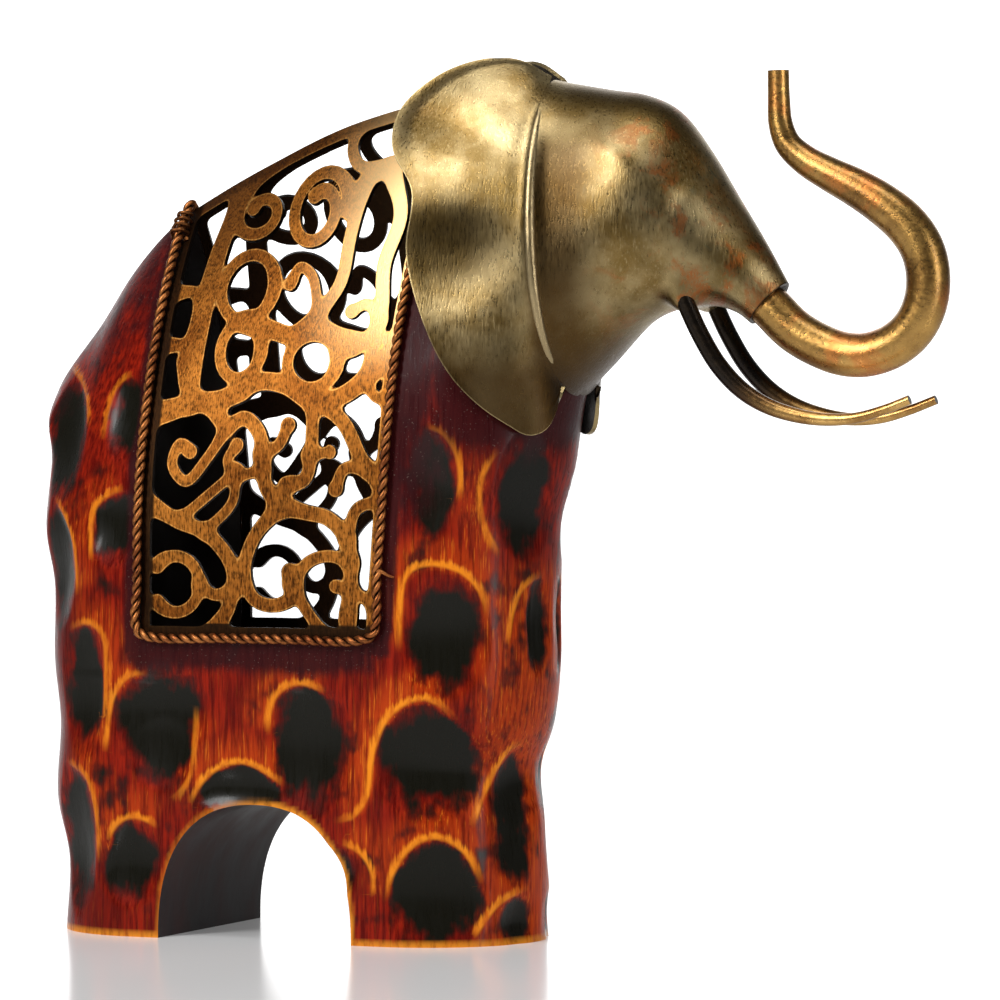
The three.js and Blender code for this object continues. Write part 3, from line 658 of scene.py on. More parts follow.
def outside_arch(x, z, margin):
    """How far a place lies outside the leg arch, roughly; negative in the arch."""
    along = np.abs(x - ARCH_CENTRE) / (ARCH_WIDTH / 2 + margin)
    up = np.maximum(z, 0) / (ARCH_HEIGHT + margin)
    return ((along ** ARCH_SQUARENESS + up ** ARCH_SQUARENESS) ** (1 / ARCH_SQUARENESS) - 1) * ARCH_WIDTH / 2


def ring_sheet(rows, columns, inset, floor, top):
    """Points round the whole body, from the rear along the near side and back, with paint fields."""
    heights = np.linspace(floor, top, rows + 1)
    x = side_places(heights, columns)
    z = np.repeat(heights[:, None], columns + 1, axis=1)
    depth, fields = scooped(x, z)
    near = near_point(x, z, depth + inset)
    near[..., 2] = z
    near[..., 1] = np.minimum(near[..., 1], -LEAST_HALF_WIDTH)
    near[:, [0, -1], 1] = 0

    def both_sides(half):
        return np.concatenate([half, half[:, -2:0:-1]], axis=1)

    far = mirrored(near)[:, -2:0:-1]
    points = np.concatenate([near, far], axis=1)
    fields["place"] = x
    return points, {name: both_sides(field) for name, field in fields.items()}


def shade_of(x, z):
    """Where the lacquer is dark maroon round the saddle and on the back, with painted shade beside and under
    the ear and on the neck.
    """
    outside = outside_window(x, z)
    frame_band = 1 - smooth(outside, 3, 8)
    under_foot = (1 - smooth(np.abs(SADDLE_FOOT - z), 6, 15)) * smooth(x, SADDLE_REAR - 12, SADDLE_REAR)
    under_foot = under_foot * (1 - smooth(x - saddle_front(z), -4, 8))
    # Painted shade beside and under the ear: the shoulder band and the neck under the ear
    shoulder = (1 - smooth(x - saddle_front(z), 5, 27)) * smooth(z, 104, 142) * smooth(x, -40, -20)
    under_ear = smooth(x, -16, 6) * smooth(z, 138, 158)
    back = smooth(z - 1.1 * x, 275, 330)
    darkest = np.maximum.reduce([frame_band, under_foot * 0.9, shoulder * 0.85, under_ear, back * 0.65])
    return np.clip(darkest, 0, 1)


def hem_of(x, z):
    """Where the bare edge of the sheet shows orange: at the foot and along the arch."""
    by_arch = (1 - smooth(outside_arch(x, z, 0), 0.3, 1.5)) * lerp(0.4, 1, smooth(x, -72, -50))
    return np.maximum(1 - smooth(z, 0.7, 2), by_arch)


def make_body(materials):
    build = Build()
    outer, fields = ring_sheet(BODY_ROWS, BODY_COLUMNS, 0, 0, BODY_TOP)
    place, height = fields.pop("place"), outer[..., 2]
    keep = np.minimum(outside_window(place, height), outside_arch(place, height, 0))
    cut = cut_grid(keep, joined=True)
    points = along_cut(outer, cut)
    kept = {name: along_cut(field, cut) for name, field in fields.items()}
    shade = along_cut(shade_of(place, height), cut)
    hem = along_cut(hem_of(place, height), cut)
    build.add(points, cut[0], 0, shade=shade, hem=hem, **kept)
    side = np.sign(points[:, 1])
    middle = np.where(side == 0, -1, side)
    normals = near_normal(points[:, 0], points[:, 2])
    inner = points - normals * np.column_stack([np.ones(len(points)), -middle, np.ones(len(points))]) * SHEET
    edges = [(a, b) for a, b in open_edges(cut[0]) if 0.2 < points[a][2] + points[b][2] < 2 * BODY_TOP - 1]
    add_rim(build, points, inner, edges, 1)

    inside, inside_fields = ring_sheet(BODY_ROWS // 2, BODY_COLUMNS // 2, SHEET, SOLE, BODY_TOP - 3 * SHEET)
    place, height = inside_fields["place"], inside[..., 2]
    keep = np.minimum(outside_window(place, height), outside_arch(place, height, SHEET))
    cut = cut_grid(keep, joined=True)
    build.add(along_cut(inside, cut), cut[0], 2, flip=True)

    add_arch(build, 0, 1, False)
    add_arch(build, SHEET, 2, True)
    add_soles(build, outer[0], 0, 1, True)
    add_soles(build, inside[0], SHEET, 2, False)
    build.add(outer[-1], [list(range(len(outer[-1])))], 0, shade=1.0)
    return build.make("body", materials, "body_shell")


def add_arch(build, margin, slot, flip):
    """Curved strip between the legs, from side to side."""
    steps, across = 72, 24
    angle = np.linspace(math.pi, 0, steps + 1)
    power = 2 / ARCH_SQUARENESS
    along = np.sign(np.cos(angle)) * np.abs(np.cos(angle)) ** power
    x = ARCH_CENTRE + along * (ARCH_WIDTH / 2 + margin)
    z = np.maximum((ARCH_HEIGHT + margin) * np.sin(angle) ** power, SOLE if margin else 0)
    edge = near_point(x, z, scooped(x, z)[0] + margin)
    share = np.linspace(-1, 1, across + 1)
    points = np.repeat(edge[:, None, :], across + 1, axis=1)
    points[..., 0] = x[:, None]
    points[..., 2] = z[:, None]
    points[..., 1] = -edge[:, 1:2] * share
    build.add(points, grid_faces(steps + 1, across + 1), slot, flip=flip)


def add_soles(build, ring, margin, slot, flip):
    """Flat soles under the two pairs of legs."""
    half = ARCH_WIDTH / 2 + margin
    for sign in (-1, 1):
        edge = ARCH_CENTRE + sign * half
        foot = ring[(ring[:, 0] - edge) * sign > 0]
        near = foot[foot[:, 1] <= 0]
        far = foot[foot[:, 1] > 0]
        out = half_width(np.array([edge]), ring[:1, 2])[0] - margin
        corners = np.array([[edge, -out, ring[0, 2]], [edge, out, ring[0, 2]]])
        near = near[np.argsort(near[:, 0])]
        far = far[np.argsort(-far[:, 0])]
        if sign > 0:
            loop = np.vstack([corners[:1], near, far, corners[1:]])
        else:
            loop = np.vstack([near, corners, far])
        build.add(loop, [list(range(len(loop)))], slot, flip=flip)


# Saddle

def stroke_inside(points, line, width):
    """How far points lie inside a stroke with round, slightly swollen ends."""
    distance, share, _ = along_line(points, line)
    to_end = np.minimum(share, 1 - share)
    swollen = 1 + STROKE_END_SWELL * (1 - smooth(to_end, 0.03, 0.16))
    swollen = swollen - STROKE_THINNING * smooth(to_end, 0.1, 0.25)
    return width / 2 * swollen - distance


def ring_line(centre_x, centre_z, reach_x, reach_z, start, sweep, end_share):
    """Points of a ring that may wind inwards."""
    steps = max(18, int(abs(sweep) / 14))
    share = np.linspace(0, 1, steps + 1)
    angle = np.radians(start + sweep * share)
    reach = lerp(1, end_share, share)
    away = np.column_stack([np.cos(angle) * reach_x, np.sin(angle) * reach_z]) * reach[:, None]
    return away + [centre_x, centre_z]


def joined_softly(a, b):
    """Larger of two fields, with the corner between them filled."""
    blend = np.clip(0.5 + (a - b) / (2 * SCROLL_JOIN), 0, 1)
    return lerp(b, a, blend) + SCROLL_JOIN * blend * (1 - blend)


def openwork(x, z):
    """How far places lie inside the metal of the saddle; negative in its holes."""
    points = np.column_stack([x.ravel(), z.ravel()])
    lines = [(width, curve_points(line, 6 * len(line))) for width, line in SCROLL_LINES]
    lines += [(width, ring_line(*ring)) for width, *ring in SCROLL_RINGS]
    metal = np.full(len(points), -30.0)
    for width, line in lines:
        near = np.all((points > line.min(axis=0) - 8) & (points < line.max(axis=0) + 8), axis=1)
        metal[near] = joined_softly(metal[near], stroke_inside(points[near], line, width))
    within = -outside_window(points[:, 0], points[:, 1]) - CLEARANCE
    metal = joined_softly(metal, SADDLE_BORDER - within)
    metal = joined_softly(metal, SADDLE_RIDGE_BAND - (top_over(points[:, 0]) - points[:, 1]))
    return np.minimum(metal, within).reshape(x.shape)


def folded_sheet():
    """Grid of the sheet folded over the back: near foot to ridge to far foot, rear to front."""
    columns = int((SADDLE_FRONT_TOP - SADDLE_REAR) / SADDLE_CELL)
    places = np.linspace(SADDLE_REAR, SADDLE_FRONT_TOP, columns + 1)
    rows = int((BODY_TOP - SADDLE_FOOT) / SADDLE_CELL)
    heights = np.empty((rows + 1, columns + 1))
    for column, x in enumerate(places):
        ridge = top_over(x)
        drop = (ridge - SADDLE_FOOT) * np.linspace(0, 1, 400) ** 2
        out = np.where(drop > 0, half_width(np.full(400, x), ridge - drop), 0)
        travelled = np.append(0, np.cumsum(np.hypot(np.diff(drop), np.diff(out))))
        heights[:, column] = ridge - np.interp(np.linspace(0, travelled[-1], rows + 1), travelled, drop)
    x = np.repeat(places[None, :], rows + 1, axis=0)
    near = near_point(x, heights, 0)
    near[0, :, 1] = 0
    inner = near_point(x, heights, SADDLE_SHEET)
    inner[..., 1] = np.minimum(inner[..., 1], 0)
    inner[0] = np.column_stack([places, np.zeros_like(places), heights[0] - SADDLE_SHEET * math.sqrt(2)])
    # Dark strip inside the frame beside the rope, painted as shade; the band along the ridge is half as dark
    from_frame = np.minimum(x - SADDLE_REAR, heights - SADDLE_FOOT)
    strip = 1 - smooth(from_frame, SADDLE_SHADE_STRIP - 0.6, SADDLE_SHADE_STRIP + 0.6)
    strip = np.maximum(strip, 0.48 * (1 - smooth(top_over(x) - heights, 2, 7)))
    return near, inner, openwork(x, heights), strip


def make_lattice(material):
    near, inner, metal, strip = folded_sheet()

    def folded(half):
        return np.concatenate([half[::-1], mirrored(half[1:]) if half.ndim == 3 else half[1:]])

    cut = cut_grid(folded(metal))
    outside, inside = along_cut(folded(near), cut), along_cut(folded(inner), cut)
    depth = along_cut(folded(metal), cut)
    strip = along_cut(folded(strip), cut)
    build = Build()
    build.add(outside, cut[0], 0, metal=depth, within=0.0, strip=strip)
    # Inner face: the copper paint turns it near-black as painted shade
    build.add(inside, cut[0], 0, flip=True, metal=depth, within=1.0)
    add_rim(build, outside, inside, open_edges(cut[0]), 0, metal=0.0, within=0.35)
    return build.make("lattice", [material], "saddle_lattice")


def rope_path():
    """Closed path of the rope along the edge of the saddle."""
    lift = ROPE_DIAMETER / 2 + CLEARANCE
    climb_steps = 9

    def climb(edge_at):
        top = top_over(edge_at(BODY_TOP)) - ROPE_CLIMB_END
        z = np.linspace(SADDLE_FOOT + 2, top, climb_steps + 1)
        return near_point(edge_at(z), z, -lift)

    def over_top(x):
        return np.array([[x, 0, top_over(x) + lift + ROPE_OVER_RIDGE]])

    rear = climb(lambda z: SADDLE_REAR + 0 * np.asarray(z, float))
    front = climb(saddle_front)
    share = np.array([0.06, 0.35, 0.65, 0.94])
    foot = near_point(lerp(SADDLE_REAR, SADDLE_FRONT_FOOT, share), np.full(4, float(SADDLE_FOOT)), -lift)
    near_half = np.vstack([rear[::-1], foot, front])
    far_half = mirrored(near_half)[::-1]
    loop = np.vstack([over_top(SADDLE_REAR), near_half, over_top(SADDLE_FRONT_TOP), far_half])
    length = np.linalg.norm(np.diff(loop, axis=0), axis=1).sum()
    return curve_points(loop, int(length / ROPE_STEP), closed=True)[:-1], length


def carried_frames(path, closed=False):
    """Two directions across a path that turn as little as possible."""
    tangent = np.roll(path, -1, axis=0) - np.roll(path, 1, axis=0)
    if not closed:
        tangent[0], tangent[-1] = path[1] - path[0], path[-1] - path[-2]
    tangent = unit(tangent)
    across = np.cross(tangent[0], [0, 1, 0.01])
    rows = []
    for direction in tangent:
        across = across - direction * (across @ direction)
        across = across / np.linalg.norm(across)
        rows.append(across)
    across = np.array(rows)
    return across, np.cross(tangent, across)


def add_knot(build, path):
    """Binding wire wound round the rope where its ends meet, high on the rear of the near side."""
    behind = np.flatnonzero((path[:, 0] < SADDLE_REAR + 6) & (path[:, 1] < -3))
    top = behind[np.argmax(path[behind, 2])]
    run = np.linspace(0, KNOT_LENGTH, KNOT_STEPS)
    travelled = np.append(0, np.cumsum(np.linalg.norm(np.diff(path[top:], axis=0), axis=1)))
    centre = np.column_stack([np.interp(run, travelled, axis) for axis in path[top:].T])
    across, up = carried_frames(centre)
    share = np.linspace(0, 1, KNOT_STEPS)
    turn = 2 * math.pi * KNOT_TURNS * share
    loose = (ROPE_DIAMETER + KNOT_WIRE) / 2 * (1 + KNOT_LOOSENESS * np.sin(KNOT_WANDER * turn) ** 2 * share)
    coil = centre + (across * np.cos(turn)[:, None] + up * np.sin(turn)[:, None]) * loose[:, None]
    add_tube(build, bar_rings(coil, np.full(KNOT_STEPS, KNOT_WIRE / 2), WIRE_SIDES), buried=0.5)


def add_loose_end(build):
    """A strand end that sticks out forward from the rope on the near side."""
    start = saddle_front(LOOSE_END_HEIGHT)
    run = np.linspace(0, 1, 9)
    lift = -lerp(ROPE_DIAMETER * 0.7, 1.2, run)
    path = near_point(start + LOOSE_END_LENGTH * run, LOOSE_END_HEIGHT - 2 * ease(run), lift)
    radius = lerp(LOOSE_END_RADIUS, LOOSE_END_TIP_RADIUS, run)
    add_tube(build, bar_rings(path, radius, WIRE_SIDES), buried=0.2)


def make_rope(material):
    path, length = rope_path()
    across, up = carried_frames(path, closed=True)
    share = np.arange(len(path)) / len(path)
    first, last = across[0], across[-1]
    gap = math.atan2(np.dot(last, up[0]), np.dot(last, first))
    turns = round(length / ROPE_PITCH)
    radius = (ROPE_DIAMETER - STRAND_DIAMETER) / 2
    build = Build()
    for strand in range(2):
        turn = 2 * math.pi * (turns * share + strand / 2) - gap * share
        centre = path + (across * np.cos(turn)[:, None] + up * np.sin(turn)[:, None]) * radius
        strand_across, strand_up = carried_frames(centre, closed=True)
        angle = np.linspace(0, 2 * math.pi, WIRE_SIDES, endpoint=False)
        ring = (strand_across[:, None] * np.cos(angle)[None, :, None]
                + strand_up[:, None] * np.sin(angle)[None, :, None])
        rings = centre[:, None] + ring * STRAND_DIAMETER / 2
        buried = 0.5 + 0.5 * np.einsum("ijk,ik->ij", ring, unit(path - centre))
        add_tube(build, rings, closed=True, buried=buried)
    add_knot(build, path)
    add_loose_end(build)
    return build.make("rope", [material], "saddle_rope", 80)


# Head

def head_sections(count):
    """Smoothly spaced sections of the head."""
    sections = np.array(HEAD_SECTIONS, float)
    keys = np.arange(len(sections))
    wanted = np.linspace(0, len(sections) - 1, count)
    return np.column_stack([through(list(zip(keys, column)))(wanted) for column in sections.T])


def head_ring(section, inset, sides):
    """One egg-shaped ring of the head between its top and bottom points."""
    top = np.array([section[0], 0, section[1]])
    bottom = np.array([section[2], 0, section[3]])
    centre = (top + bottom) / 2
    half = top - centre
    half = half * (1 - inset / np.linalg.norm(half))
    wide = HEAD_WIDTH / 2 * section[4] - inset
    angle = np.linspace(0, 2 * math.pi, sides, endpoint=False)[:, None]
    out = -np.sin(angle) * wide * (1 - HEAD_EGG * np.cos(angle))
    return centre + half * np.cos(angle) + np.array([0, 1, 0]) * out


def pushed_clear(points, stand_off):
    """The points, moved out until they stand off the near side by a distance."""
    normal = near_normal(points[..., 0], points[..., 2])
    away = (-points[..., 1] - half_width(points[..., 0], points[..., 2])) * -normal[..., 1]
    return points + normal * np.maximum(stand_off - away, 0)[..., None]


def ear_faces():
    """Outer face of the near ear, between the rib on the head and its own edge."""
    ring = head_ring(HEAD_SECTIONS[0], 0, 16)
    rib = curve_points(ring[1:8], EAR_ROWS)
    edge = curve_points([(x, -out, z) for x, out, z in EAR_EDGE], EAR_ROWS)
    share = np.linspace(-EAR_ROOT_OVERLAP, 1, EAR_COLUMNS + 1)
    faces = rib[:, None] + (edge - rib)[:, None] * share[None, :, None]
    row = np.linspace(0, 1, EAR_ROWS + 1)
    stand_off = lerp(EAR_STAND_OFF_TIP, EAR_STAND_OFF_BACK, 1 - smooth(row, 0.45, 0.85))
    wanted = stand_off[:, None] * np.ones_like(share)
    pushed = pushed_clear(faces, wanted)
    return faces + smoothed_down(pushed - faces) * smooth(share, 0.05, 0.22)[None, :, None]


def smoothed_down(rows):
    """Each row replaced by the mean of the rows about it."""
    padded = np.pad(rows, ((EAR_SMOOTHING, EAR_SMOOTHING), (0, 0), (0, 0)), mode="edge")
    return np.mean([padded[i:i + len(rows)] for i in range(2 * EAR_SMOOTHING + 1)], axis=0)


def ear_waves(faces):
    """The ear with soft swells in its sheet and one along the rib."""
    rows, columns = faces.shape[:2]
    row = np.linspace(0, 1, rows)[:, None]
    column = np.linspace(0, 1, columns)[None, :]
    wave = np.zeros((rows, columns))
    for down, out, reach_down, reach_out, rise in EAR_SWELLS:
        wave += rise * np.exp(-((row - down) / reach_down) ** 2 - ((column - out) / reach_out) ** 2)
    wave = wave * (1 - smooth(column, 0.85, 1.0)) * smooth(column, 0, 0.2)
    from_rib = np.linalg.norm(faces - faces[:, :1], axis=-1)
    wave = wave + RIB_SWELL * np.exp(-(from_rib / RIB_REACH) ** 2) * np.sin(math.pi * row) ** 0.5
    across = np.gradient(faces, axis=1)
    down = np.gradient(faces, axis=0)
    normal = unit(np.cross(across, down))
    normal = unit(smoothed_down(normal * -np.sign(normal[..., 1:2])))
    return faces + normal * wave[..., None], normal


def add_ear(build, far):
    faces, normal = ear_waves(ear_faces())
    behind = faces - normal * EAR_SHEET
    if far:
        faces, behind = mirrored(faces), mirrored(behind)
    rows, columns = faces.shape[:2]
    column = np.tile(np.linspace(0, 1, columns), rows)
    cells = grid_faces(rows, columns)
    facing = np.cross(faces[1, 1] - faces[1, 0], faces[2, 0] - faces[1, 0])[1]
    turn = (facing > 0) != far
    build.add(faces, cells, 0, flip=turn, ear=column, within=0.0)
    build.add(behind, cells, 0, flip=not turn, ear=column, within=1.0)
    flat, back = faces.reshape(-1, 3), behind.reshape(-1, 3)
    edges = open_edges([cell[::-1] if turn else cell for cell in cells])
    add_rim(build, flat, back, edges, 0, ear=1.0, within=0.3)


def add_rib(build, far):
    """Narrow raised crease along the root of an ear."""
    ring = head_ring(HEAD_SECTIONS[0], RIB_DIAMETER / 2 - RIB_PROUD - RIB_SWELL, 16)
    path = curve_points(ring[1:8], RIB_STEPS)
    share = np.linspace(0, 1, len(path))
    radius = RIB_DIAMETER / 2 * (0.35 + 0.65 * np.sin(math.pi * share) ** 0.6)
    rings = bar_rings(path, radius, 16)
    # The rib tube carries the painted highlight of the brass
    add_tube(build, mirrored(rings)[:, ::-1] if far else rings, within=0.0, worn=1.0)


def bar_rings(path, radius, sides):
    across, up = carried_frames(path)
    angle = np.linspace(0, 2 * math.pi, sides, endpoint=False)[None, :, None]
    ring = across[:, None] * np.cos(angle) + up[:, None] * np.sin(angle)
    return path[:, None] + ring * np.asarray(radius)[:, None, None]


def head_relief(rings):
    """The head's skin with a swell at the ear rib, the brow crease and the hollow cheek."""
    centre = rings.mean(axis=1, keepdims=True)
    away = unit(rings - centre)
    behind = np.linalg.norm(rings - rings[:1], axis=-1)
    swell = RIB_SWELL * np.exp(-(behind / RIB_REACH) ** 2) * np.abs(away[..., 1]) ** 0.5
    places = rings[..., [0, 2]]
    distance, share, _ = along_line(places.reshape(-1, 2), curve_points(BROW_LINE, 24))
    crease = BROW_RISE * np.exp(-(distance / BROW_REACH) ** 2) * np.sin(math.pi * share) ** 0.4
    aside = (places - np.array(CHEEK_CENTRE)) / np.array(CHEEK_REACH)
    cheek = CHEEK_DEPTH * np.exp(-(aside ** 2).sum(axis=-1))
    on_side = smooth(np.abs(away[..., 1]), 0.35, 0.8)
    from_lip = (rings * [1, 0, 1] + np.abs(rings) * [0, 1, 0] - JAW_LIP) / JAW_LIP_REACH
    lip = JAW_LIP_RISE * np.exp(-(from_lip ** 2).sum(axis=-1))
    return rings + away * (swell + lip + (crease.reshape(cheek.shape) - cheek) * on_side)[..., None]


def make_head(material):
    build = Build()
    sections = head_sections(HEAD_RINGS)
    outer = head_relief(np.array([head_ring(section, 0, HEAD_SIDES) for section in sections]))
    inner = head_relief(np.array([head_ring(section, SHEET, HEAD_SIDES) for section in sections]))
    cells = grid_faces(HEAD_RINGS, HEAD_SIDES, joined=True)
    lip = np.repeat(smooth(np.linspace(0, 1, HEAD_RINGS), 0.985, 1), HEAD_SIDES)
    build.add(outer, cells, 0, ear=0.0, within=lip)
    build.add(inner, cells, 0, flip=True, ear=0.0, within=1.0)
    sides = np.arange(HEAD_SIDES)
    rear = [(int(b), int(a)) for a, b in zip(sides, np.roll(sides, -1))]
    add_rim(build, outer[0], inner[0], rear, 0, within=0.5)
    build.add(outer[-1], [list(range(HEAD_SIDES))], 0, within=1.0)
    build.add(inner[-1], [list(range(HEAD_SIDES))[::-1]], 0, within=1.0)
    for far in (False, True):
        add_ear(build, far)
        add_rib(build, far)
    return build.make("head_and_ears", [material], "head", 60)


def tapered(line, out, thick, thin, start, steps, sides):
    """Rings of a round bar in a plane beside the middle, tapering after a share of its length."""
    path = curve_points([(x, out, z) for x, z in line], steps)
    share = np.linspace(0, 1, steps + 1)
    return bar_rings(path, lerp(thick, thin, smooth(share, start, 1)) / 2, sides), share


def make_bars(pipe_material, tusk_material):
    build = Build()
    rings, share = tapered(TRUNK_LINE, 0, TRUNK_DIAMETER, TRUNK_TIP_DIAMETER, TRUNK_TAPER_START,
                           TRUNK_STEPS, TRUNK_SIDES)
    add_tube(build, rings, travel=np.repeat(share, TRUNK_SIDES))
    build.make("trunk_pipe", [pipe_material], "trunk", 50)
    for name, node, side in (("tusk_near", "tusk_right", -1), ("tusk_far", "tusk_left", 1)):
        build = Build()
        out = side * TUSK_SPACING / 2
        rings, share = tapered(TUSK_LINE, out, TUSK_DIAMETER, TUSK_TIP_DIAMETER, TUSK_TAPER_START,
                               TUSK_STEPS, TUSK_SIDES)
        add_tube(build, rings, travel=np.repeat(share, TUSK_SIDES))
        build.make(name, [tusk_material], node, 50)


# Materials

class Paint:
    """A principled material and short calls for the nodes that feed it."""

    def __init__(self, name, **values):
        self.material = bpy.data.materials.new(name)
        self.material.use_nodes = True
        self.tree = self.material.node_tree
        self.shader = self.tree.nodes["Principled BSDF"]
        for socket, value in values.items():
            self.shader.inputs[socket.replace("_", " ")].default_value = value
        self.place = self.tree.nodes.new("ShaderNodeTexCoord").outputs["Object"]

    def set(self, socket, source):
        self.tree.links.new(source, self.shader.inputs[socket])

    def feed(self, socket, value):
        if isinstance(value, bpy.types.NodeSocket):
            self.tree.links.new(value, socket)
        elif isinstance(value, tuple):
            socket.default_value = (*value, 1) if len(socket.default_value) == 4 else value
        else:
            socket.default_value = value

    def noise(self, scale, stretch=(1, 1, 1), detail=4, roughness=0.55, distortion=0.0, lift=0.0):
        mapping = self.tree.nodes.new("ShaderNodeMapping")
        mapping.inputs["Scale"].default_value = stretch
        mapping.inputs["Location"].default_value = (lift, lift, lift)
        self.tree.links.new(self.place, mapping.inputs["Vector"])
        node = self.tree.nodes.new("ShaderNodeTexNoise")
        self.tree.links.new(mapping.outputs["Vector"], node.inputs["Vector"])
        node.inputs["Scale"].default_value = scale
        node.inputs["Detail"].default_value = detail
        node.inputs["Roughness"].default_value = roughness
        node.inputs["Distortion"].default_value = distortion
        return node.outputs["Fac"]

    def field(self, name):
        node = self.tree.nodes.new("ShaderNodeAttribute")
        node.attribute_name = name
        return node.outputs["Fac"]

    def span(self, source, low, high, to_low=0.0, to_high=1.0):
        node = self.tree.nodes.new("ShaderNodeMapRange")
        node.interpolation_type = "SMOOTHSTEP"
        for socket, value in zip(list(node.inputs)[:5], (source, low, high, to_low, to_high)):
            self.feed(socket, value)
        return node.outputs["Result"]

    def math(self, operation, *values):
        node = self.tree.nodes.new("ShaderNodeMath")
        node.operation = operation
        for socket, value in zip(node.inputs, values):
            self.feed(socket, value)
        return node.outputs[0]

    def times(self, a, b):
        return self.math("MULTIPLY", a, b)

    def varied(self, base, noise, amount):
        """The base, raised or lowered by a noise about its middle."""
        return self.math("MULTIPLY_ADD", self.math("SUBTRACT", noise, 0.5), amount, base)

    def mix(self, factor, a, b):
        node = self.tree.nodes.new("ShaderNodeMix")
        node.data_type = "RGBA"
        colours = [socket for socket in node.inputs if socket.type == "RGBA"]
        self.feed(node.inputs[0], factor)
        self.feed(colours[0], a)
        self.feed(colours[1], b)
        return [socket for socket in node.outputs if socket.type == "RGBA"][0]

    def height(self, axis):
        node = self.tree.nodes.new("ShaderNodeSeparateXYZ")
        self.tree.links.new(self.place, node.inputs[0])
        return node.outputs[axis]

    def bump(self, source, strength, distance):
        node = self.tree.nodes.new("ShaderNodeBump")
        node.inputs["Strength"].default_value = strength
        node.inputs["Distance"].default_value = distance
        self.tree.links.new(source, node.inputs["Height"])
        self.set("Normal", node.outputs["Normal"])


def lacquer():
    """Red lacquer brushed with orange over hammered black hollows, with dark maroon and painted shade from
    the shade field.
    """
    paint = Paint("red_lacquer_paint", Coat_Roughness=0.16, Specular_IOR_Level=0.08)
    streak = paint.noise(1, (900, 900, 70), detail=5)
    patch = paint.noise(34, detail=3)
    blob = paint.noise(95, detail=2, lift=7)
    ragged = paint.noise(1, (420, 420, 130), detail=5, roughness=0.6, lift=3)
    hollow, rim, light, glow = (paint.field(name) for name in ("hollow", "rim", "light", "glow"))
    shade, hem = paint.field("shade"), paint.field("hem")
    x, z = paint.height("X"), paint.height("Z")
    red = paint.mix(paint.span(streak, 0.36, 0.66), (0.1, 0.003, 0.0015), (0.27, 0.011, 0.002))
    red = paint.mix(paint.span(patch, 0.44, 0.7, 0, 0.8), red, (0.1, 0.004, 0.002))
    by_front = paint.times(paint.span(x, 0.004, 0.015), paint.span(z, 0.12, 0.1))
    low = paint.span(z, 0.175, 0.105, 0.03, 1)
    lit = paint.times(paint.math("MAXIMUM", glow, by_front), paint.span(streak, 0.3, 0.6, 0.25, 1))
    colour = paint.mix(paint.times(lit, low), red, (0.46, 0.045, 0.003))
    hair = paint.noise(1, (2100, 2100, 90), detail=3, lift=9)
    hair = paint.times(paint.span(hair, 0.56, 0.7, 0, 0.7), paint.span(lit, 0.05, 0.5, 0.12, 1))
    colour = paint.mix(paint.times(hair, low), colour, (0.72, 0.17, 0.01))
    sink = paint.varied(hollow, blob, 1.7)
    sink = paint.varied(sink, ragged, 0.8)
    colour = paint.mix(paint.span(sink, 0.0, 0.4, 0, 0.8), colour, (0.07, 0.003, 0.002))
    colour = paint.mix(paint.span(sink, 0.16, 0.62), colour, (0.006, 0.0055, 0.003))
    feathered = paint.varied(rim, streak, 5)
    line = paint.times(paint.span(feathered, -2, -0.4), paint.span(rim, 1.2, 0.1))
    line = paint.times(line, paint.span(ragged, 0.3, 0.6, 0.4, 1))
    line = paint.times(line, light)
    colour = paint.mix(line, colour, (0.86, 0.26, 0.012))
    # Dark maroon lacquer and painted shade from the shade field: darkest under and beside the ear and on the
    # neck
    maroon = paint.varied(shade, patch, 1.1)
    maroon = paint.varied(maroon, ragged, 0.6)
    shaded = paint.span(maroon, 0.2, 0.8, 0, 0.94)
    colour = paint.mix(shaded, colour, (0.03, 0.004, 0.005))
    dust = paint.times(paint.span(paint.noise(1700, detail=1), 0.68, 0.76, 0, 0.3), shaded)
    colour = paint.mix(dust, colour, (0.3, 0.22, 0.18))
    hemmed = paint.times(hem, paint.span(ragged, 0.3, 0.55, 0.4, 1))
    colour = paint.mix(hemmed, colour, (0.75, 0.26, 0.02))
    paint.set("Base Color", colour)
    paint.set("Coat Weight", paint.span(sink, 0.1, 0.6, 0.05, 0.22))
    paint.set("Roughness", paint.span(streak, 0.3, 0.7, 0.24, 0.42))
    relief = paint.math("ADD", paint.times(streak, 0.25), line)
    paint.bump(relief, 0.35, 0.0006)
    return paint.material


def soffit():
    """Dark satin paint of the arch strip and the cut edges."""
    paint = Paint("arch_paint", Specular_IOR_Level=0.15)
    cloud = paint.noise(60, (1, 1, 0.5), detail=5)
    colour = paint.mix(paint.span(cloud, 0.35, 0.7), (0.014, 0.006, 0.007), (0.04, 0.012, 0.01))
    paint.set("Base Color", colour)
    paint.set("Roughness", paint.span(cloud, 0.3, 0.7, 0.3, 0.46))
    paint.bump(cloud, 0.15, 0.001)
    return paint.material


def inside_painted_shade():
    """Near-black inside the body: painted shade for the unlit inside."""
    paint = Paint("inside_shade_paint", Metallic=0.1)
    cloud = paint.noise(90, detail=4)
    paint.set("Base Color", paint.mix(cloud, (0.008, 0.005, 0.004), (0.03, 0.014, 0.009)))
    paint.set("Roughness", paint.span(cloud, 0.3, 0.7, 0.5, 0.7))
    return paint.material


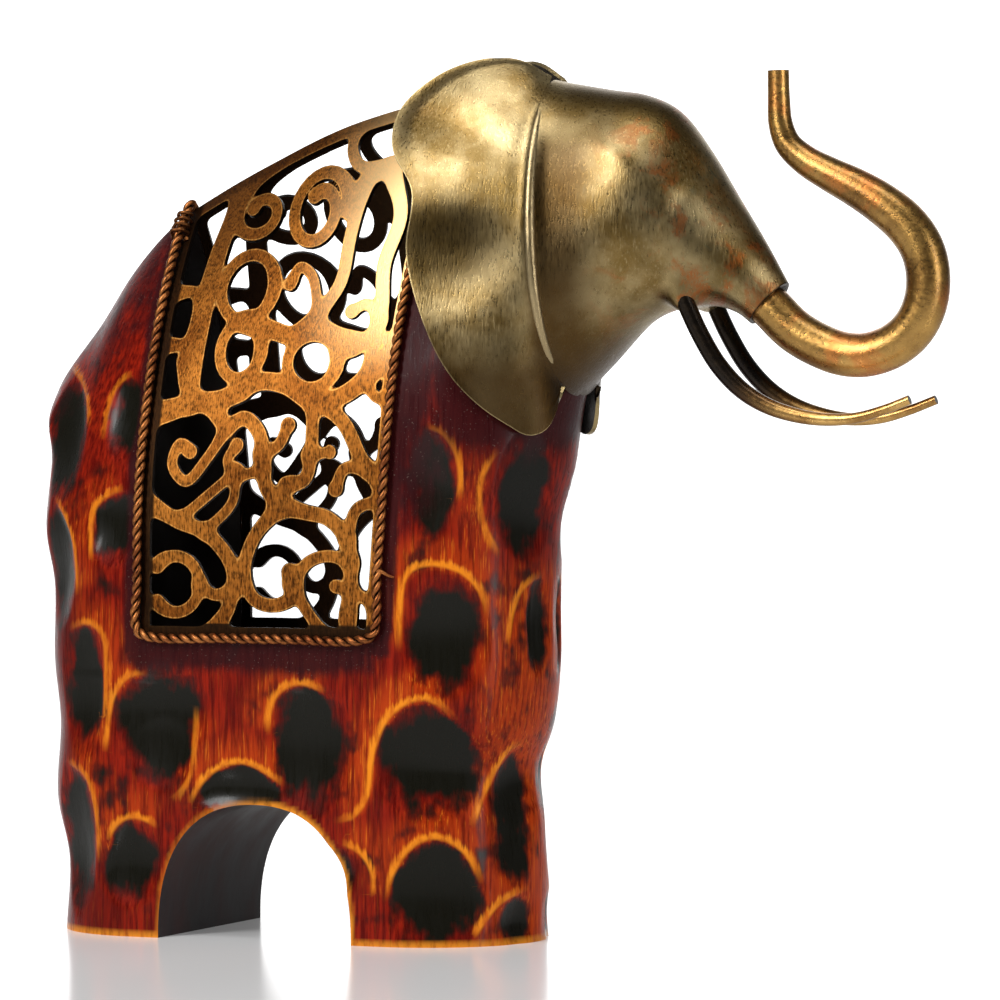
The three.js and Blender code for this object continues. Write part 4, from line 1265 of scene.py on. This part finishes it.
def brushed_metal(name, dark, middle, bright, stretch, dark_share, sheen=0.0):
    """Antique metal in three tones with fine brush marks; gives its paint, colour and marks."""
    paint = Paint(name, Metallic=0.97, Coat_Weight=sheen, Coat_Roughness=0.26)
    brushed = paint.noise(1, stretch, detail=6, roughness=0.62)
    cloud = paint.noise(48, detail=5, roughness=0.6)
    speck = paint.noise(700, detail=3)
    tone = paint.mix(paint.span(cloud, 0.35, 0.68), middle, bright)
    tone = paint.mix(paint.span(brushed, 0.52, 0.74, 0, 0.8), tone, bright)
    soiled = paint.math("MULTIPLY_ADD", speck, 0.5, brushed)
    tone = paint.mix(paint.span(soiled, dark_share + 0.25, dark_share - 0.05, 0, 0.85), tone, dark)
    return paint, tone, brushed


def finish_metal(paint, tone, brushed, roughness, grain=0.2):
    paint.set("Base Color", tone)
    paint.set("Roughness", paint.span(brushed, 0.3, 0.7, roughness, roughness + 0.16))
    paint.bump(brushed, grain, 0.0004)
    return paint.material


def copper():
    """Openwork: rubbed copper-gold with painted highlights along the stroke edges and beside the ear, dark
    cut faces, inner faces painted dark as shade, and a dark outer strip painted as shade beside the rope.
    """
    black_brown = (0.02, 0.01, 0.005)
    paint, tone, brushed = brushed_metal("copper_paint", (0.03, 0.011, 0.004), (0.27, 0.08, 0.011),
                                         (0.56, 0.2, 0.03), (2400, 2400, 420), 0.6)
    x, z = paint.height("X"), paint.height("Z")
    # Painted highlight: pale gold on the upper front of the saddle beside the ear
    painted_highlight_by_ear = paint.times(paint.span(x, -0.055, -0.014), paint.span(z, 0.165, 0.2, 0, 0.9))
    tone = paint.mix(painted_highlight_by_ear, tone, (0.95, 0.66, 0.31))
    by_rump = paint.times(paint.span(x, -0.06, -0.09), paint.span(z, 0.19, 0.22, 0, 0.6))
    tone = paint.mix(by_rump, tone, (0.16, 0.05, 0.015))
    depth = paint.field("metal")
    # Painted highlight along the edges of the strokes, standing in for rounded edges catching the light
    edge = paint.times(paint.span(depth, 0.08, 0.2), paint.span(depth, 0.55, 0.25, 0, 0.8))
    edge = paint.times(edge, paint.span(brushed, 0.35, 0.6, 0.3, 1))
    tone = paint.mix(edge, tone, (0.85, 0.42, 0.1))
    tone = paint.mix(paint.span(depth, 0.12, 0.02, 0, 0.8), tone, black_brown)
    # Dark strip inside the frame beside the rope, painted as shade; the band along the ridge is half as dark
    tone = paint.mix(paint.span(paint.field("strip"), 0.2, 0.8, 0, 0.96), tone, black_brown)
    # Inner faces and cut faces painted black-brown; on the inner faces this is painted shade
    tone = paint.mix(paint.span(paint.field("within"), 0.2, 0.34, 0, 0.97), tone, black_brown)
    return finish_metal(paint, tone, brushed, 0.34)


def rope_wire():
    """Reddish copper wire, black where the strands meet."""
    paint, tone, brushed = brushed_metal("rope_paint", (0.015, 0.006, 0.004), (0.2, 0.055, 0.017),
                                         (0.5, 0.19, 0.055), (700, 700, 300), 0.5)
    tone = paint.mix(paint.span(paint.field("buried"), 0.22, 0.7, 0, 0.96), tone, (0.012, 0.006, 0.004))
    return finish_metal(paint, tone, brushed, 0.36)


def brass():
    """Head and ears: satin brass with olive patches that grow low down, orange rubs, a little green by the
    snout, painted shade on the ear, beside the rib, along the top and over the crown, a painted highlight
    along the rib and inner faces painted dark as shade.
    """
    paint, tone, brushed = brushed_metal("brass_paint", (0.04, 0.02, 0.005), (0.21, 0.13, 0.036),
                                         (0.46, 0.35, 0.17), (1700, 1700, 300), 0.42, 0.1)
    x, z = paint.height("X"), paint.height("Z")
    cloud = paint.noise(26, detail=4, lift=11)
    olive = paint.times(paint.span(cloud, 0.4, 0.62), paint.span(z, 0.25, 0.215, 0, 0.65))
    olive = paint.times(olive, paint.span(x, 0.0, 0.03, 0.4, 1))
    tone = paint.mix(olive, tone, (0.06, 0.038, 0.008))
    # Painted shade in the fold just in front of the ear rib
    shade_beside_rib = paint.times(paint.span(x, 0.024, 0.028), paint.span(x, 0.052, 0.036, 0, 0.85))
    shade_beside_rib = paint.times(shade_beside_rib, paint.span(z, 0.247, 0.236))
    tone = paint.mix(shade_beside_rib, tone, (0.055, 0.026, 0.005))
    # Painted shade on the down-facing tip of the ear
    shade_on_ear_tip = paint.times(paint.span(z, 0.188, 0.168, 0, 0.92), paint.span(x, 0.036, 0.03))
    tone = paint.mix(shade_on_ear_tip, tone, (0.045, 0.022, 0.004))
    # Painted shade across the middle of the ear, where its sheet turns down away from the key light
    shade_mid_ear = paint.times(paint.span(z, 0.188, 0.203), paint.span(z, 0.238, 0.214))
    shade_mid_ear = paint.times(shade_mid_ear, paint.span(x, 0.03, 0.006, 0, 0.92))
    tone = paint.mix(shade_mid_ear, tone, (0.038, 0.022, 0.004))
    # Painted shade dulling the top of the head
    shade_on_crown = paint.times(paint.span(x, 0.022, 0.034), paint.span(z, 0.232, 0.25, 0, 0.7))
    tone = paint.mix(shade_on_crown, tone, (0.11, 0.068, 0.017))
    rub = paint.noise(1, (62, 90, 74), detail=8, roughness=0.7, distortion=0.6, lift=5)
    on_snout = paint.span(x, 0.038, 0.062)
    rubbed = paint.times(paint.span(rub, 0.51, 0.62, 0, 0.7), on_snout)
    rubbed = paint.times(rubbed, paint.span(brushed, 0.34, 0.56, 0.35, 1))
    tone = paint.mix(rubbed, tone, (0.32, 0.075, 0.01))
    # Painted shade: a warm brown band along the top, where the ear's edge curls away
    warm_shade_on_top = paint.times(paint.span(cloud, 0.5, 0.66, 0, 0.4), paint.span(z, 0.242, 0.258))
    tone = paint.mix(warm_shade_on_top, tone, (0.45, 0.2, 0.06))
    green = paint.times(paint.span(rub, 0.42, 0.34, 0, 0.6), paint.span(x, 0.06, 0.085))
    tone = paint.mix(green, tone, (0.05, 0.12, 0.09))
    tone = paint.mix(paint.span(paint.field("ear"), 0.985, 1, 0, 0.6), tone, (0.55, 0.42, 0.2))
    # Painted highlight along the ear rib
    tone = paint.mix(paint.span(paint.field("worn"), 0, 1, 0, 0.42), tone, (0.7, 0.55, 0.3))
    # Inner faces, ear backs and end caps painted near-black as shade
    tone = paint.mix(paint.span(paint.field("within"), 0.5, 1, 0, 0.94), tone, (0.025, 0.016, 0.008))
    return finish_metal(paint, tone, brushed, 0.25, 0.3)


def bronze():
    """Trunk pipe: gold bronze with copper rubs."""
    paint, tone, brushed = brushed_metal("bronze_paint", (0.05, 0.026, 0.007), (0.2, 0.096, 0.02),
                                         (0.52, 0.3, 0.08), (700, 700, 900), 0.4, 0.3)
    rub = paint.noise(60, detail=6, roughness=0.62, lift=9)
    tone = paint.mix(paint.span(rub, 0.5, 0.62, 0, 0.7), tone, (0.5, 0.17, 0.035))
    return finish_metal(paint, tone, brushed, 0.24, 0.35)


def tusk_metal():
    """Tusks: black at the root, then copper and gold."""
    paint, tone, brushed = brushed_metal("tusk_paint", (0.03, 0.015, 0.005), (0.26, 0.12, 0.025),
                                         (0.6, 0.36, 0.11), (500, 500, 500), 0.42, 0.3)
    tone = paint.mix(paint.span(paint.field("travel"), 0.7, 0.34, 0, 0.98), tone, (0.006, 0.004, 0.003))
    return finish_metal(paint, tone, brushed, 0.24)


# Stage, light and camera

def make_stage():
    """A wide pale floor."""
    mesh = bpy.data.meshes.new("floor")
    corners = [(FLOOR_REACH * x, FLOOR_REACH * y, 0) for x, y in ((-1, -1), (1, -1), (1, 1), (-1, 1))]
    mesh.from_pydata(corners, [], [(0, 1, 2, 3)])
    floor = bpy.data.objects.new("floor", mesh)
    bpy.context.collection.objects.link(floor)
    paint = Paint("floor_paint", Emission_Color=(1, 1, 1, 1), Emission_Strength=0.12)
    cloud = paint.noise(3, detail=2)
    paint.set("Base Color", paint.mix(cloud, (0.8, 0.8, 0.8), (0.84, 0.84, 0.84)))
    paint.set("Roughness", paint.span(cloud, 0, 1, 0.14, 0.2))
    mesh.materials.append(paint.material)


def add_light(name, size, watts, bearing, elevation, distance):
    """Soft area light aimed at the figure."""
    data = bpy.data.lights.new(name, "AREA")
    data.shape = "RECTANGLE"
    data.size, data.size_y = size
    data.energy = watts
    lamp = bpy.data.objects.new(name, data)
    bpy.context.collection.objects.link(lamp)
    turn = math.radians(CAMERA_AZIMUTH + bearing)
    tilt = math.radians(elevation)
    away = np.array([math.sin(turn) * math.cos(tilt), -math.cos(turn) * math.cos(tilt), math.sin(tilt)])
    lamp.location = (np.array(LIGHT_AIM) + away * distance).tolist()
    aimed = np.array(LIGHT_AIM) - np.array(lamp.location)
    lamp.rotation_euler = Vector(aimed.tolist()).to_track_quat("-Z", "Y").to_euler()


def make_lights():
    world = bpy.data.worlds.new("studio")
    bpy.context.scene.world = world
    world.use_nodes = True
    nodes, links = world.node_tree.nodes, world.node_tree.links
    background = nodes["Background"]
    background.inputs["Color"].default_value = (1, 1, 1, 1)
    turn = math.radians(CAMERA_AZIMUTH)
    behind = nodes.new("ShaderNodeVectorMath")
    behind.operation = "DOT_PRODUCT"
    behind.inputs[1].default_value = (-math.sin(turn), math.cos(turn), 0.1)
    links.new(nodes.new("ShaderNodeTexCoord").outputs["Generated"], behind.inputs[0])
    brightness = nodes.new("ShaderNodeMapRange")
    brightness.interpolation_type = "SMOOTHSTEP"
    limits = {"From Min": 0.7, "From Max": 0.96, "To Min": WORLD_DIM, "To Max": WORLD_BRIGHT}
    for name, value in limits.items():
        brightness.inputs[name].default_value = value
    links.new(behind.outputs["Value"], brightness.inputs["Value"])
    links.new(brightness.outputs["Result"], background.inputs["Strength"])
    for name, settings in LIGHTS.items():
        add_light(name, *settings)


def make_camera():
    data = bpy.data.cameras.new("camera")
    data.lens = CAMERA_LENS
    data.sensor_width = 36
    data.clip_start, data.clip_end = 0.05, 30
    camera = bpy.data.objects.new("camera", data)
    bpy.context.collection.objects.link(camera)
    turn = math.radians(CAMERA_AZIMUTH)
    target = np.array(CAMERA_TARGET) * MM
    away = np.array([math.sin(turn), -math.cos(turn), 0]) * CAMERA_DISTANCE * MM
    camera.location = (target + away).tolist()
    camera.rotation_euler = (math.radians(90 - CAMERA_PITCH), 0, turn)
    bpy.context.scene.camera = camera


make_body([lacquer(), soffit(), inside_painted_shade()])
make_lattice(copper())
make_rope(rope_wire())
make_head(brass())
make_bars(bronze(), tusk_metal())
make_stage()
make_lights()
make_camera()
bpy.context.scene.view_settings.view_transform = "Standard"
